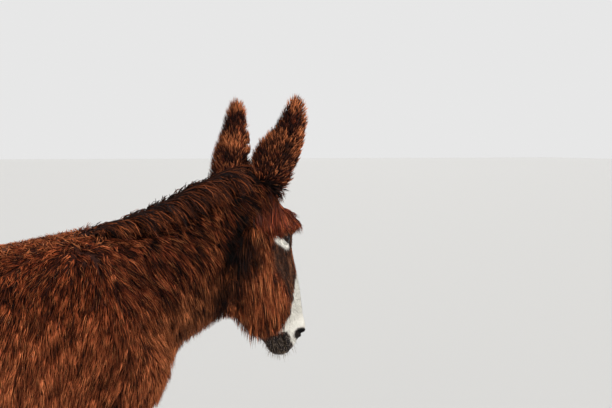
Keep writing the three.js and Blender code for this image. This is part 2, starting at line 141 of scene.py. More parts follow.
def mix(a, b, share):
    """From a to b by a share for each point."""
    a, b, share = (np.asarray(given) for given in (a, b, share))
    if max(a.ndim, b.ndim) > 1 or b.shape == (3,):
        share = share[:, None]
    return a + (b - a) * share


def layered(base, *layers):
    """Numbers or colours with others laid over them in turn, each by its share for each point."""
    for over, share in layers:
        base = mix(base, over, share)
    return base


def curve(x, *corners):
    """The height over each x of a line through the corners."""
    return np.interp(x, *np.transpose(corners))


def unit(v):
    return v / np.maximum(np.linalg.norm(v, axis=-1, keepdims=True), 1e-9)


def drawer(count):
    """Draws one random number between two for each of so many tufts."""
    return lambda low=0.0, high=1.0: rng.uniform(low, high, count)


def noise(points, wavelength, seed, waves=7):
    """Smooth noise of about one wavelength, about -1 to 1."""
    own = np.random.default_rng(seed)
    ways = unit(own.normal(size=(waves, 3)))
    scale = 2 * math.pi / wavelength * own.uniform(0.6, 1.5, waves)
    phase = own.uniform(0, 2 * math.pi, waves)
    return np.sin(points @ (ways * scale[:, None]).T + phase).sum(1) * 1.4 / waves


def noise3(points, wavelength, seed):
    return np.stack([noise(points, wavelength, seed + i) for i in range(3)], 1)


def tangent(ways, normals):
    return unit(ways - normals * (ways * normals).sum(1, keepdims=True))


# ---- Regions of the body


def ear_half(z):
    """Half the width of an ear at each height."""
    low = [(0, 0.064), (0.045, 0.073), (0.09, 0.079), (0.13, 0.075)]
    return curve(z, *low, (0.165, 0.064), (0.2, 0.053), (0.264, 0.036))


def ear_share(points):
    return np.max([near * step(0.0, 0.05, own[2]) for _, own, near in by_ears(points)], 0)


def head_share(points):
    x, _, z = in_head(points).T
    near = step(0.60, 0.68, points[:, 2]) * step(-0.40, -0.32, z)
    return step(-0.03, 0.05, 0.73 * x + 0.68 * (z - 0.066)) * near * (1 - ear_share(points))


def tail_share(points):
    x, y, z = (points + SHIFT).T
    behind = np.where(z > 1.0, -0.60, -0.645)
    return step(0, 0.03, behind - x) * (np.abs(y) < 0.08) * step(0.35, 0.4, z)


def neck_share(points):
    return step(0.0, 0.22, in_neck(points)[:, 0]) * (1 - head_share(points)) * (1 - ear_share(points))


def mane_top(n):
    """Height of the mane's ridge over the neck's axis."""
    rear = [(0.2, 0.178), (0.32, 0.172), (0.48, 0.158)]
    return curve(n[:, 0] / NECK_LENGTH, *rear, (0.64, 0.150), (0.8, 0.148), (0.95, 0.138))


def mane_share(points):
    n = in_neck(points)
    share = n[:, 0] / NECK_LENGTH
    ridge = step(0.065, 0.045, mane_top(n) - n[:, 2]) * step(0.048, 0.036, np.abs(n[:, 1] + 0.006))
    return step(0.12, 0.2, share) * step(1.12, 1.0, share) * ridge * (1 - ear_share(points))


def leg_share(points):
    return step(0.66, 0.50, (points + SHIFT)[:, 2]) * (1 - tail_share(points))


def brow_share(h):
    """The fringe that bulges over the brow and hangs to the eyes."""
    x, _, z = h.T
    edge = curve(z, (-0.03, 0.110), (-0.008, 0.138), (0.029, 0.158), (0.061, 0.168))
    return step(0.02, 0.06, x) * step(edge + 0.006, edge - 0.010, x) * step(-0.05, -0.01, z)


def behind_cheek(h):
    """How far ahead of the cheek's rear edge each place is, and how much that edge counts there."""
    x, y, z = h.T
    edge = curve(z, (-0.215, 0.28), (-0.199, 0.195), (-0.163, 0.138), (-0.123, 0.109), (-0.03, 0.06))
    near = step(-0.24, -0.20, z) * step(-0.02, -0.09, z) * step(0.025, 0.05, np.abs(y))
    return x - edge, near * step(0.36, 0.26, x) * step(-0.02, 0.04, x)


def head_edge(points):
    """The strip along the cheek's rear edge, where its longest locks are rooted."""
    ahead, near = behind_cheek(in_head(points))
    return bump(ahead, 0.016, 0.022) * near * (1 - ear_share(points))


def cheek_share(h):
    """The shaggy side of the head, behind the line from the eye to the nose."""
    x, _, z = h.T
    line = curve(x, (0.10, 0.0), (0.18, -0.035), (0.24, -0.04), (0.32, -0.008), (0.40, 0.004), (0.46, -0.05))
    return step(0.012, -0.012, z - line) * step(0.485, 0.455, x)


def from_eye(h):
    """How far each place is from the line through both eyes."""
    return np.hypot(h[:, 0] - EYE[0], h[:, 2] - EYE[2])


def oval(h, x, z, half_x, half_z):
    """1 in the middle of an oval on the side of the head, 0 outside."""
    return step(1.25, 0.45, np.hypot((h[:, 0] - x) / half_x, (h[:, 2] - z) / half_z))


def painted_light_and_shade(points):
    """Painted shade on the hair in the hollows of the cheek and behind it, and painted light on the cheek's
    front.
    """
    h = in_head(points)
    ahead, near = behind_cheek(h)
    gap = np.maximum(bump(ahead, -0.024, 0.045) * near, oval(h, 0.300, -0.245, 0.085, 0.038))
    deep = np.maximum(oval(h, 0.170, -0.145, 0.095, 0.070), 0.9 * oval(h, 0.270, -0.195, 0.080, 0.042))
    deep = deep * step(0.03, 0.06, np.abs(h[:, 1]))
    lit = 0.9 * oval(h, 0.300, -0.065, 0.110, 0.065) * head_share(points)
    return (1 - 0.88 * gap) * (1 - 0.88 * deep) * (1 + lit)


def coat_depth(points):
    """How far under the coat's tips the skin lies."""
    h = in_head(points)
    x, _, z = h.T
    brow, jaw = brow_share(h), step(-0.05, -0.14, z) * step(0.48, 0.40, x)
    face = layered(
        0.005 + (0.008 + 0.008 * step(0.04, 0.08, z)) * brow + 0.008 * cheek_share(h) + 0.012 * jaw,
        (0.004, bump(from_eye(h), 0, 0.055) * (1 - 0.5 * brow)),
        (0.0025, step(0.44, 0.50, x)),
    )
    return layered(
        0.008,
        (0.025, step(0.30, 0.62, points[:, 2])),
        (face, head_share(points)),
        (0.004, ear_share(points)),
        (0.011, mane_share(points)),
        (0.011, tail_share(points)),
    )


# ---- The skin

FLESH = ["trunk", "neck", "head", "ear_right", "ear_left", "tail"] + [f"leg_{leg}" for leg in LEGS]
VOXEL = 0.010
OVERLAP = 0.0008  # how much fuller each node is, so that the cuts between them close
BAKE_MAP = "OFBake"


def read(data, name, size, kind=float):
    """One property of every item, in rows of so many numbers."""
    values = np.empty(len(data) * size, dtype=kind)
    data.foreach_get(name, values)
    return values.reshape(-1, size)


def mesh_arrays(mesh):
    mesh.calc_loop_triangles()
    return read(mesh.vertices, "co", 3), read(mesh.loop_triangles, "vertices", 3, np.int64)


def edges_of(mesh):
    return read(mesh.edges, "vertices", 2, np.int64)


def place(mesh, points):
    """Puts a mesh's vertices at the points."""
    mesh.vertices.foreach_set("co", points.astype(np.float32).ravel())


def vertex_normals(points, triangles):
    a, b, c = (points[triangles[:, i]] for i in range(3))
    face = np.cross(b - a, c - a)
    normals = np.zeros_like(points)
    for i in range(3):
        np.add.at(normals, triangles[:, i], face)
    return unit(normals)


def new_object(name, mesh):
    made = bpy.data.objects.new(name, mesh)
    bpy.context.scene.collection.objects.link(made)
    return made


def joined_flesh():
    """The nodes of flesh in one mesh."""
    points, triangles, count = [], [], 0
    for node in [*FLESH, "mane", "eye_right", "eye_left"]:
        p, t = mesh_arrays(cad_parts[node].data)
        p, index = np.unique(np.round(p, 6), axis=0, return_inverse=True)
        t = index.reshape(-1)[t]
        t = t[(t[:, 0] != t[:, 1]) & (t[:, 1] != t[:, 2]) & (t[:, 0] != t[:, 2])]
        points.append(p + vertex_normals(p, t) * OVERLAP)
        triangles.append(t + count)
        count += len(p)
    mesh = bpy.data.meshes.new("flesh")
    mesh.from_pydata(np.concatenate(points).tolist(), [], np.concatenate(triangles).tolist())
    return mesh


def remeshed(mesh, voxel):
    made = new_object("flesh", mesh)
    modifier = made.modifiers.new("remesh", "REMESH")
    modifier.mode = "VOXEL"
    modifier.voxel_size = voxel
    evaluated = made.evaluated_get(bpy.context.evaluated_depsgraph_get())
    result = bpy.data.meshes.new_from_object(evaluated)
    bpy.data.objects.remove(made)
    return result


@contextmanager
def edited(mesh):
    """A mesh opened for editing, and written back at the end."""
    work = bmesh.new()
    work.from_mesh(mesh)
    yield work
    work.to_mesh(mesh)
    work.free()


def smoothed(points, edges, turns, share, weight):
    """Draws each point towards its neighbours' middle and back, which keeps the volume."""
    degree = np.bincount(edges.ravel(), minlength=len(points))[:, None]
    for _ in range(turns):
        for pull in (share, -share * 1.04):
            total = np.zeros_like(points)
            for i in range(3):
                for a, b in (edges.T, edges.T[::-1]):
                    total[:, i] += np.bincount(a, points[b, i], len(points))
            points = points + weight[:, None] * pull * (total / np.maximum(degree, 1) - points)
    return points


def eye_axes(sign):
    """Centre of an eye in the head's axes, with the ways along its lids, over them, and out."""
    gaze = unit(np.array([-0.05, sign * 0.95, 0.27]))
    slant = np.array([0.84, 0.0, 0.54])
    along = unit(slant - gaze * (slant @ gaze))
    over = np.cross(along, gaze) * sign
    return EYE * [1, sign, 1], along, over, gaze


def eye_ring(h):
    """How far each point is from the middle of its eye's opening, 1 on the edge of the lids."""
    ring = np.full(len(h), 9.0)
    for sign in SIDES.values():
        centre, along, over, gaze = eye_axes(sign)
        d = h - centre
        own = np.hypot((d @ along) / 0.0185, (d @ over + 0.001) / 0.0120)
        ring = np.where((d @ gaze > -0.02) & (h[:, 1] * sign > 0), own, ring)
    return ring


def sculpt_eyes(points):
    """Lids: the skin opens over each eyeball in an almond and lies on it round the opening."""
    h = in_head(points)
    ring = eye_ring(h)
    for sign in SIDES.values():
        centre, along, over, gaze = eye_axes(sign)
        near = (ring < 3.0) & (h[:, 1] * sign > 0.03)
        u, v, w = ((h - centre)[near] @ way for way in (along, over, gaze))
        r = ring[near]
        ball = np.sqrt(np.maximum(EYE_RADIUS**2 - u**2 - v**2, 0.007**2))
        upper = step(0, 0.006, v)
        lid = ball + 0.0010 + (0.0016 + 0.0012 * upper) * bump(r, 1.22, 0.35)
        out = mix(np.where(r < 1, ball - 0.004, lid), w, step(1.3, 2.7, r))
        out -= 0.0028 * bump(r, 1.85, 0.3) * upper
        h[near] = centre + np.outer(u, along) + np.outer(v, over) + np.outer(out, gaze)
    return from_head(h)


NOSTRIL = np.array([0.532, 0.044, 0.018])
NOSTRIL_SLANT = math.radians(35)
MOUTH_Z = -0.054
MUZZLE_TIP = 0.59


def nostrils(h):
    """For each nostril, its sign, places along its slit and across it, and the skin on its side."""
    for sign in SIDES.values():
        aside = h[:, 1] * sign
        x, _, z = (h - NOSTRIL * [1, sign, 1]).T
        x = x - 0.5 * np.clip(NOSTRIL[1] - aside, 0, 0.03)
        a = x * math.cos(NOSTRIL_SLANT) + z * math.sin(NOSTRIL_SLANT)
        b = -x * math.sin(NOSTRIL_SLANT) + z * math.cos(NOSTRIL_SLANT)
        yield sign, a, b + 6 * a * a, aside


def mouth_line(h):
    """Height over the line of the mouth, how much mouth each place has, and how deep its slit is there."""
    line = h[:, 2] - MOUTH_Z + (MUZZLE_TIP - h[:, 0]) * 0.10
    mouth = step(0.49, 0.52, h[:, 0])
    return line, mouth, np.exp(-((line / 0.0035) ** 2)) * mouth


def sculpt_muzzle(points):
    """Nostrils with raised rims, and the line of the mouth."""
    h = in_head(points)
    for sign, a, b, aside in nostrils(h.copy()):
        side = step(0.010, 0.024, aside)
        hole = np.exp(-(((a / 0.019) ** 2 + (b / 0.0095) ** 2) ** 1.5)) * side
        rim = np.exp(-(((np.hypot(a / 1.7, b) - 0.0135) / 0.004) ** 2)) * side
        h += np.outer(hole * 0.011 - rim * 0.0030, unit(np.array([-0.10, -sign * 0.98, -0.1])))
    line, mouth, cleft = mouth_line(h)
    out = [step(0.55, MUZZLE_TIP, h[:, 0]), np.sign(h[:, 1]) * step(0.0, 0.02, np.abs(h[:, 1])), 0 * line]
    lips = np.exp(-(((np.abs(line) - 0.009) / 0.006) ** 2)) * mouth
    return from_head(h + unit(np.stack(out, 1)) * (0.002 * lips - 0.008 * cleft)[:, None])


def on_face(h):
    x, _, z = h.T
    return (from_eye(h) < 0.075) | (x > 0.30) & (z > -0.10) | (x > 0.44)


def by_features(h):
    x, y, z = h.T
    eye = (from_eye(h) < 0.042) & (np.abs(y) > 0.05)
    return eye | (x > 0.495) & (z > -0.012) | (x > 0.48) & (np.abs(mouth_line(h)[0]) < 0.016)


def refine(mesh, inside):
    """Splits the head's faces whose vertices are all inside into four, and evens the head out."""
    points, _ = mesh_arrays(mesh)
    chosen = inside(in_head(points)) & (head_share(points) > 0.5)
    with edited(mesh) as work:
        work.verts.ensure_lookup_table()
        edges = [e for e in work.edges if chosen[e.verts[0].index] and chosen[e.verts[1].index]]
        bmesh.ops.subdivide_edges(work, edges=edges, cuts=1, use_grid_fill=True, smooth=0)
    points, _ = mesh_arrays(mesh)
    points = smoothed(points, edges_of(mesh), 2, 0.5, head_share(points))
    place(mesh, points)
    return points


def make_skin():
    mesh = remeshed(joined_flesh(), VOXEL)
    points, triangles = mesh_arrays(mesh)
    edges = edges_of(mesh)
    muzzle = head_share(points) * step(0.42, 0.5, in_head(points)[:, 0])
    points = smoothed(points, edges, 14, 0.5, 1 - 0.75 * muzzle)
    ahead, near = behind_cheek(in_head(points))
    groove = bump(ahead, -0.016, 0.03) * near * (1 - ear_share(points))
    fold = 0.011 * bump(ahead, 0.03, 0.045) * near - 0.018 * groove
    points -= vertex_normals(points, triangles) * (coat_depth(points) - fold)[:, None]
    points = smoothed(points, edges, 5, 0.5, 1 - 0.6 * head_share(points))
    place(mesh, points)
    for inside in (on_face, by_features):
        points = refine(mesh, inside)
    points = sculpt_muzzle(sculpt_eyes(points))
    place(mesh, points)
    with edited(mesh) as work:
        bmesh.ops.triangulate(work, faces=work.faces[:])
    mesh.polygons.foreach_set("use_smooth", np.ones(len(mesh.polygons), dtype=bool))
    mesh.update()
    return new_object("skin", mesh)


def unwrap(obj):
    """An unwrap of the skin's own shape, in the bake map."""
    bpy.ops.object.select_all(action="DESELECT")
    obj.select_set(True)
    bpy.context.view_layer.objects.active = obj
    obj.data.uv_layers.new(name=BAKE_MAP)
    bpy.ops.object.mode_set(mode="EDIT")
    bpy.ops.mesh.select_all(action="SELECT")
    bpy.ops.uv.smart_project(angle_limit=math.radians(70), island_margin=0.001)
    bpy.ops.object.mode_set(mode="OBJECT")
    return read(obj.data.uv_layers[BAKE_MAP].data, "uv", 2).reshape(-1, 3, 2)


skin = make_skin()
skin_uv = unwrap(skin)
skin_points, skin_triangles = mesh_arrays(skin.data)
skin_normals = vertex_normals(skin_points, skin_triangles)
skin_tree = BVHTree.FromPolygons(skin_points.tolist(), skin_triangles.tolist())

# ---- Colours


def srgb(*values):
    """A colour as seen, turned into the numbers light works with."""
    c = np.array(values, dtype=float) / 255
    return np.where(c <= 0.04045, c / 12.92, ((c + 0.055) / 1.055) ** 2.4)


BARREL = srgb(164, 83, 50)
BACK = srgb(90, 37, 17)
CHEST = srgb(180, 95, 56)
BELLY = srgb(146, 98, 66)
NECK_SIDE = srgb(63, 25, 13)
NECK_UNDER = srgb(116, 66, 40)
POLL = srgb(66, 29, 15)
CHEEK = srgb(134, 65, 40)
BROW = srgb(118, 48, 30)
GREY = srgb(80, 54, 42)
WHITE = srgb(250, 244, 235)
CHARCOAL = srgb(52, 42, 38)
LOW_LEG = srgb(104, 64, 42)
EAR_BACK = srgb(68, 28, 14)
EAR_TUFT = srgb(230, 130, 80)
PALE = srgb(214, 184, 146)
TAN = srgb(224, 146, 94)
SPECK = srgb(196, 176, 164)
MANE = srgb(46, 22, 15)
RED_TIP = srgb(176, 92, 50)
BRIGHTEST = 0.95


def chin_share(h, wander=0.0):
    """The dark lower lip and chin, with the ragged edge of the white above them."""
    x, _, z = h.T
    rear = [(0.478, -0.11), (0.484, -0.07), (0.497, -0.038), (0.522, -0.034)]
    edge = curve(x, *rear, (0.548, -0.033), (0.565, -0.028), (0.6, -0.022))
    ragged = noise(h, 0.009, 44) * 0.004
    return step(0.003, -0.003, z + ragged + wander - edge) * step(0.470, 0.480, x + wander)


def body_colour(points, blot):
    """The colour of the trunk, the neck, the legs and the tail."""
    x, _, z = (points + SHIFT).T
    along, _, up = in_neck(points).T
    pale_tips_and_sheen = noise(points * [1, 1, 0.4], 0.11, 44) * step(0.35, 0.15, x)
    return layered(
        BARREL,
        (BACK, step(0.80, 1.10, z + 0.05 * blot)),
        (CHEST, step(0.40, 0.60, x) * step(1.05, 0.9, z)),
        (BELLY, 0.7 * step(0.62, 0.54, z) * step(-0.38, -0.28, x) * step(0.36, 0.26, x)),
        # Paler patches low on the rear of the barrel: partly pale hair tips, partly painted sheen.
        (BELLY, 0.45 * step(0.2, 1.1, pale_tips_and_sheen) * step(1.0, 0.8, z)),
        (mix(NECK_SIDE, NECK_UNDER, step(-0.05, -0.16, up + 0.02 * blot)), step(0.0, 0.2, along)),
        # Darker on the neck's upper side behind the head: partly its darker hair, partly painted shade.
        (0.0, 0.52 * step(0.45, 0.75, along / NECK_LENGTH) * step(-0.15, -0.05, up)),
        (MANE * 1.3, mane_share(points)),
        (MANE * 1.2, tail_share(points) * step(1.0, 0.78, z)),
        (LOW_LEG, step(0.45, 0.15, z)),
    )


def white_share(h, wander, chin):
    """The white of the muzzle, up the nose, and of the mark under each eye."""
    x, y, z = h.T
    nose = [(0.33, 0.085), (0.353, 0.053), (0.377, 0.035), (0.409, 0.020), (0.423, 0.004)]
    edge = curve(x, *nose, (0.446, -0.004), (0.461, -0.044), (0.482, -0.078), (0.50, -0.09))
    white = step(-0.003, 0.003, z + wander - edge) * (1 - chin) * step(0.325, 0.335, x)
    x, z = x - 0.183, z - 0.018
    along = 0.745 * x + 0.667 * z
    over = 0.745 * z - 0.667 * x - 0.001 + 3.0 * along**2 + wander * 0.5
    thick = 0.0138 + 0.08 * np.clip(along, -0.05, 0.05)
    under_eye = step(1.22, 0.80, np.hypot(along / 0.046, over / thick)) * (np.abs(y) > 0.04)
    return np.maximum(white, under_eye)


def face_colour(h, wander):
    """The colour of the head, and how white it is."""
    x, _, z = h.T
    chin = chin_share(h, wander)
    white = white_share(h, wander, chin)
    dark = np.maximum(chin, step(1.26, 1.10, eye_ring(h)))
    # Painted shade under the chin, in the mouth's slit and in the nostrils' openings, laid darker over the
    # skin's colour.
    under = 0.6 * step(0.515, 0.485, x) * step(-0.06, -0.085, z) * chin
    painted_shade = np.maximum(under, mouth_line(h)[2])
    for _, a, b, aside in nostrils(h):
        round_it = np.hypot((a + 0.001) / 0.030, (b + 0.006) / 0.023) + wander * 20
        dark = np.maximum(dark, step(1.2, 0.85, round_it) * step(0.010, 0.020, aside))
        # Painted shade in the nostril's opening.
        painted_shade = np.maximum(painted_shade, step(1.1, 0.6, np.hypot(a / 0.024, b / 0.013)) * step(0.014, 0.024, aside))
    bare = (1 - cheek_share(h - [0, 0, 0.006])) * step(0.14, 0.17, x) * step(0.075, 0.06, z)
    poll = step(0.11, 0.06, x) * step(-0.16, -0.10, z)
    layers = [(POLL, poll), (BROW, brow_share(h)), (GREY, bare), (WHITE, white), (CHARCOAL, dark)]
    return layered(CHEEK, *layers, (0.0, 0.8 * painted_shade)), white


def markings(points):
    """The coat's colour at each place of the skin, with painted shade on the neck behind the head and in the
    muzzle's openings.
    """
    h = in_head(points)
    wander = noise(points, 0.03, 40) * 0.004 + noise(points, 0.011, 41) * 0.0025
    blot = noise(points, 0.30, 42)
    head = head_share(points)
    face, white = face_colour(h, wander)
    colour = layered(body_colour(points, blot), (face, head), (EAR_BACK, ear_share(points)))
    tone = mix(1 + 0.24 * blot + 0.18 * noise(points, 0.09, 43), 1.0, white * head)
    return np.minimum(colour * tone[:, None], 0.93)


# ---- Materials of hair and horn


def add_node(tree, kind, sources=(), **values):
    """A node of a kind, with its inputs linked to their sources or set to their values."""
    made = tree.nodes.new(f"ShaderNode{kind}")
    for key, value in values.items():
        made.inputs[key.replace("_", " ")].default_value = value
    link(tree, made, sources)
    return made


def link(tree, node, sources):
    """Links each of a node's inputs to its source."""
    for key, source in dict(sources).items():
        tree.links.new(source, node.inputs[key])


def finish(name, slot, roughness, specular, grain=900.0, relief=0.0004):
    """A slot and its material: its own tint, with a fine grain in its relief, tone and roughness."""
    material = bpy.data.materials.new(name)
    material.use_nodes = True
    tree = material.node_tree
    where = add_node(tree, "TexCoord").outputs["Object"]
    texture = add_node(tree, "TexNoise", {"Vector": where}, Scale=grain, Detail=2.0)
    height = texture.outputs["Fac"]
    low, high = max(roughness - 0.10, 0.03), roughness + 0.10
    rough = add_node(tree, "MapRange", {"Value": height}, To_Min=low, To_Max=high)
    tone = add_node(tree, "MapRange", {"Value": height}, To_Min=0.8, To_Max=1.2)
    colour = add_node(tree, "VertexColor")
    colour.layer_name = "tint"
    shade = add_node(tree, "VectorMath")
    shade.operation = "SCALE"
    link(tree, shade, {0: colour.outputs["Color"], "Scale": tone.outputs["Result"]})
    swell = add_node(tree, "Bump", {"Height": height}, Strength=0.5, Distance=relief)
    shader = tree.nodes["Principled BSDF"]
    shader.inputs["Specular IOR Level"].default_value = specular
    sources = {"Base Color": shade.outputs["Vector"], "Roughness": rough.outputs["Result"]}
    link(tree, shader, {**sources, "Normal": swell.outputs["Normal"]})
    return slot, material


FUR = finish("fur", "coat", 0.55, 0.10)
LONG_HAIR = finish("long_hair", "long_hair", 0.45, 0.16)


def dress(name, mesh, surface, replaced):
    """A piece in its finish, which stands for the nodes that it replaces."""
    slot, material = surface
    mesh.materials.append(material)
    piece = new_object(name, mesh)
    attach(piece, "root")
    if replaced:
        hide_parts(*replaced)


# ---- Tufts and locks

PIECE_LIMIT = 190000  # triangles in one piece of the coat
PATCH = 0.003  # a tuft's place in the bake map
THICKNESS = 0.5  # of a tuft, for its width


def set_mesh(name, points, triangles):
    mesh = bpy.data.meshes.new(name)
    mesh.vertices.add(len(points))
    place(mesh, points)
    mesh.loops.add(triangles.size)
    mesh.loops.foreach_set("vertex_index", triangles.astype(np.int32).ravel())
    mesh.polygons.add(len(triangles))
    mesh.polygons.foreach_set("loop_start", np.arange(0, triangles.size, 3, dtype=np.int32))
    mesh.polygons.foreach_set("use_smooth", np.ones(len(triangles), dtype=bool))
    mesh.update(calc_edges=True)
    return mesh


def tint(mesh, colours):
    layer = mesh.color_attributes.new("tint", "FLOAT_COLOR", "POINT")
    full = np.ones((len(colours), 4), dtype=np.float32)
    full[:, :3] = colours
    layer.data.foreach_set("color", full.ravel())


def blade_triangles(rings):
    """Triangles of one tuft: a cap on the root, rings of three points, a tip."""
    around = ((0, 1), (1, 2), (2, 0))
    tip = 3 * (rings - 1)
    made = [(0, 2, 1)]
    for a in range(0, tip, 3):
        for i, j in around:
            made += [(a + i, a + j, a + 3 + j), (a + i, a + 3 + j, a + 3 + i)]
    return np.array(made + [(tip + i, tip + j, tip + 3) for i, j in around])


def blade_points(path, up, width):
    """Three points round each step of each path but its last, and one at its tip."""
    count, steps, _ = path.shape
    along = np.diff(path, axis=1)
    along = unit(np.concatenate([along[:, :1], along[:, 1:] + along[:, :-1]], axis=1))
    across = unit(np.cross(along, up[:, None, :]))
    t = np.linspace(0, 1, steps)[:-1]
    half = (0.8 + 0.6 * t - 1.4 * t**3)[None, :, None] * width[:, None, None] / 2
    side, top = across * half, np.cross(across, along) * half * 2 * THICKNESS
    base = path[:, :-1]
    corners = np.stack([base + side, base + top, base - side], axis=2).reshape(count, -1, 3)
    return np.concatenate([corners, path[:, -1:]], axis=1)


def sunlit(colour, light):
    """Hair with the painted light and shade of its place laid on: no brighter than its hue allows, and bright
    brown hair turned tan.
    """
    colour = colour * light
    strongest = colour.max(-1, keepdims=True)
    brown = 1 - step(0.3, 0.6, colour.min(-1, keepdims=True) / strongest)
    colour = colour * np.minimum(1, (BRIGHTEST - 0.12 * brown) / strongest)
    tanned = 0.6 * brown * step(0.25, 1.2, strongest)
    colour = colour + (TAN * colour.max(-1, keepdims=True) * 1.3 - colour) * tanned
    return np.clip(colour, 0.003, BRIGHTEST)


def make_tufts(name, path, up, width, colour, uv, surface=FUR, replaced=()):
    """Solid tufts along paths of (tufts, rings + 1, 3), coloured along their length in the same shape."""
    count, steps, _ = path.shape
    rings = steps - 1
    points = blade_points(path, up, width)
    # Painted shade and painted light of the cheek laid on each tuft, by the place of each of its points.
    colour = sunlit(colour, painted_light_and_shade(path.reshape(-1, 3)).reshape(count, steps, 1))
    shade = np.concatenate([np.repeat(colour[:, :-1], 3, axis=1), colour[:, -1:]], axis=1)
    pattern = blade_triangles(rings)
    size = rings * 3 + 1
    spot = np.array([((0.2, 0.5, 0.8)[i % 3], (i // 3) / rings) for i in range(size - 1)] + [(0.5, 1.0)])
    spot = (spot - 0.5) * PATCH
    pieces = math.ceil(count / (PIECE_LIMIT // len(pattern)))
    for i, chosen in enumerate(np.array_split(np.arange(count), pieces)):
        triangles = (pattern[None] + (np.arange(len(chosen)) * size)[:, None, None]).reshape(-1, 3)
        label = name if pieces == 1 else f"{name}_{i + 1}"
        mesh = set_mesh(label, points[chosen].reshape(-1, 3), triangles)
        tint(mesh, shade[chosen].reshape(-1, 3))
        spots = (uv[chosen][:, None, :] + spot[None]).reshape(-1, 2)
        layer = mesh.uv_layers.new(name=BAKE_MAP)
        layer.data.foreach_set("uv", spots[triangles.ravel()].astype(np.float32).ravel())
        dress(label, mesh, surface, replaced)


def sow(density):
    """Roots spread evenly over the skin, so many to the square metre."""
    corners = skin_points[skin_triangles]
    area = np.linalg.norm(np.cross(corners[:, 1] - corners[:, 0], corners[:, 2] - corners[:, 0]), axis=1) / 2
    total = np.cumsum(area * density(corners.mean(1)))
    count = int(total[-1])
    picks = np.searchsorted(total, np.arange(count) + rng.uniform(0, 1, count))
    picks = np.minimum(picks, len(total) - 1)
    a, b = rng.uniform(0, 1, (2, count))
    a, b = np.where(a + b > 1, 1 - a, a), np.where(a + b > 1, 1 - b, b)
    share = np.stack([1 - a - b, a, b], 1)[:, :, None]
    points = (corners[picks] * share).sum(1)
    normals = unit((skin_normals[skin_triangles[picks]] * share).sum(1))
    return points, normals, (skin_uv[picks] * share).sum(1), drawer(count)


def lie(points):
    """The way the coat lies at each root, before it is laid along the skin."""
    h, n = in_head(points), in_neck(points)
    x, y, z = h.T
    on_neck = step(0.0, 0.22, n[:, 0])
    aside = np.sign(y) * step(0.0, 0.05, np.abs(y))
    face = HEAD[:, 0] + 0.25 * aside[:, None] * HEAD[:, 1]
    face = mix(face, DOWN + 0.06 * HEAD[:, 2], np.maximum(cheek_share(h), brow_share(h)))
    face = face - 0.35 * HEAD[:, 2] * (step(0.46, 0.50, x) * step(0.0, -0.05, z))[:, None]
    ways = layered(
        [-0.25, 0.0, -1.0],
        ([-0.55, 0.0, -1.0], step(-0.2, -0.5, (points + SHIFT)[:, 0])),
        ([0.80, 0.0, -1.0], on_neck * step(-0.16, 0.0, n[:, 2])),
        ([0.15, 0.0, -1.0], on_neck * step(-0.02, -0.14, n[:, 2])),
        ([0.08, 0.0, -1.0], leg_share(points)),
        (face, head_share(points)),
    )
    for side, own, near in by_ears(points):
        axes = ear_frames[side][1]
        spread = axes[:, 2] + np.clip(own[1] / 0.06, -1, 1)[:, None] * axes[:, 1] * 0.55
        ways = mix(ways, spread, step(-0.01, 0.04, own[2]) * near)
    return unit(mix(ways, DOWN, tail_share(points)))


def streaks(points):
    """Noise drawn out along the lie of the coat, so that hairs side by side make lighter and darker locks."""
    n = in_neck(points)
    head, neck = head_share(points)[:, None], neck_share(points)[:, None]
    body = (points - [0, 0, 0.9]) * [1, 1, 0.16] + np.outer(points[:, 2] - 0.9, [-0.2, 0, 0])
    crest = (n @ NECK.T) * [1, 1, 0.16] + np.outer(n[:, 2], [0.7, 0, 0])
    drawn = body * (1 - head) * (1 - neck) + crest * neck + in_head(points) * [0.16, 1, 1] * head
    return 1.1 * noise(drawn, 0.024, 110, 9) + 1.1 * noise(drawn, 0.010, 111, 9)


def coat_length(points):
    h = in_head(points)
    ahead, _, out = h.T
    x, _, z = (points + SHIFT).T
    face = (0.011 + 0.026 * brow_share(h) + 0.034 * cheek_share(h)) * (1 - 0.35 * step(-0.13, -0.19, out))
    face = layered(
        face,
        (0.007, bump(from_eye(h), 0, 0.05) * step(0.16, 0.175, ahead)),
        (0.005, step(0.44, 0.50, ahead)),
        (0.011, step(-0.05, -0.09, out) * step(0.46, 0.5, ahead)),
    )
    return layered(
        0.015,
        (0.046, step(0.25, 0.66, z)),
        (0.055, neck_share(points)),
        (0.034, step(1.10, 1.17, z) * step(0.45, 0.35, x)),
        (face, head_share(points)),
        (0.027, ear_share(points)),
        (0.055, tail_share(points)),
    )


LEADERS = 0.13  # share of the tufts that the others gather to


def leaders(points):
    """For each tuft, the one its lock gathers to."""
    centres = np.flatnonzero(np.random.default_rng(11).uniform(0, 1, len(points)) < LEADERS)
    tree = KDTree(len(centres))
    for i, c in enumerate(centres):
        tree.insert(points[c], i)
    tree.balance()
    return centres[[tree.find(p)[1] for p in points]]


def short_fur(points):
    """Where the coat is short enough for straight little tufts."""
    h = in_head(points)
    face = head_share(points) * (1 - cheek_share(h)) * (1 - brow_share(h))
    low = step(0.50, 0.42, (points + SHIFT)[:, 2]) * (1 - tail_share(points))
    return np.maximum(face, low) > 0.6


# Tufts to the square metre of skin.


def long_density(points):
    density = mix(mix(24000, 62000, head_share(points)), 70000, ear_share(points))
    return np.where(short_fur(points), 0, density)


def short_density(points):
    h = in_head(points)
    density = mix(42000, mix(90000, 150000, step(0.42, 0.5, h[:, 0])), head_share(points))
    return np.where(short_fur(points) & (eye_ring(h) >= 1.15), density, 0)


def guard_density(points):
    density = 14000 * (1 - ear_share(points)) * (1 - brow_share(in_head(points)))
    return np.where(short_fur(points), 0, density)


def wool_density(points):
    x, y, z = (points + SHIFT).T
    flesh = (1 - head_share(points)) * (1 - tail_share(points)) * (1 - mane_share(points))
    return 9000 * step(0.16, 0.06, np.abs(y)) * flesh * step(1.05, 1.12, z) * step(0.42, 0.30, x)


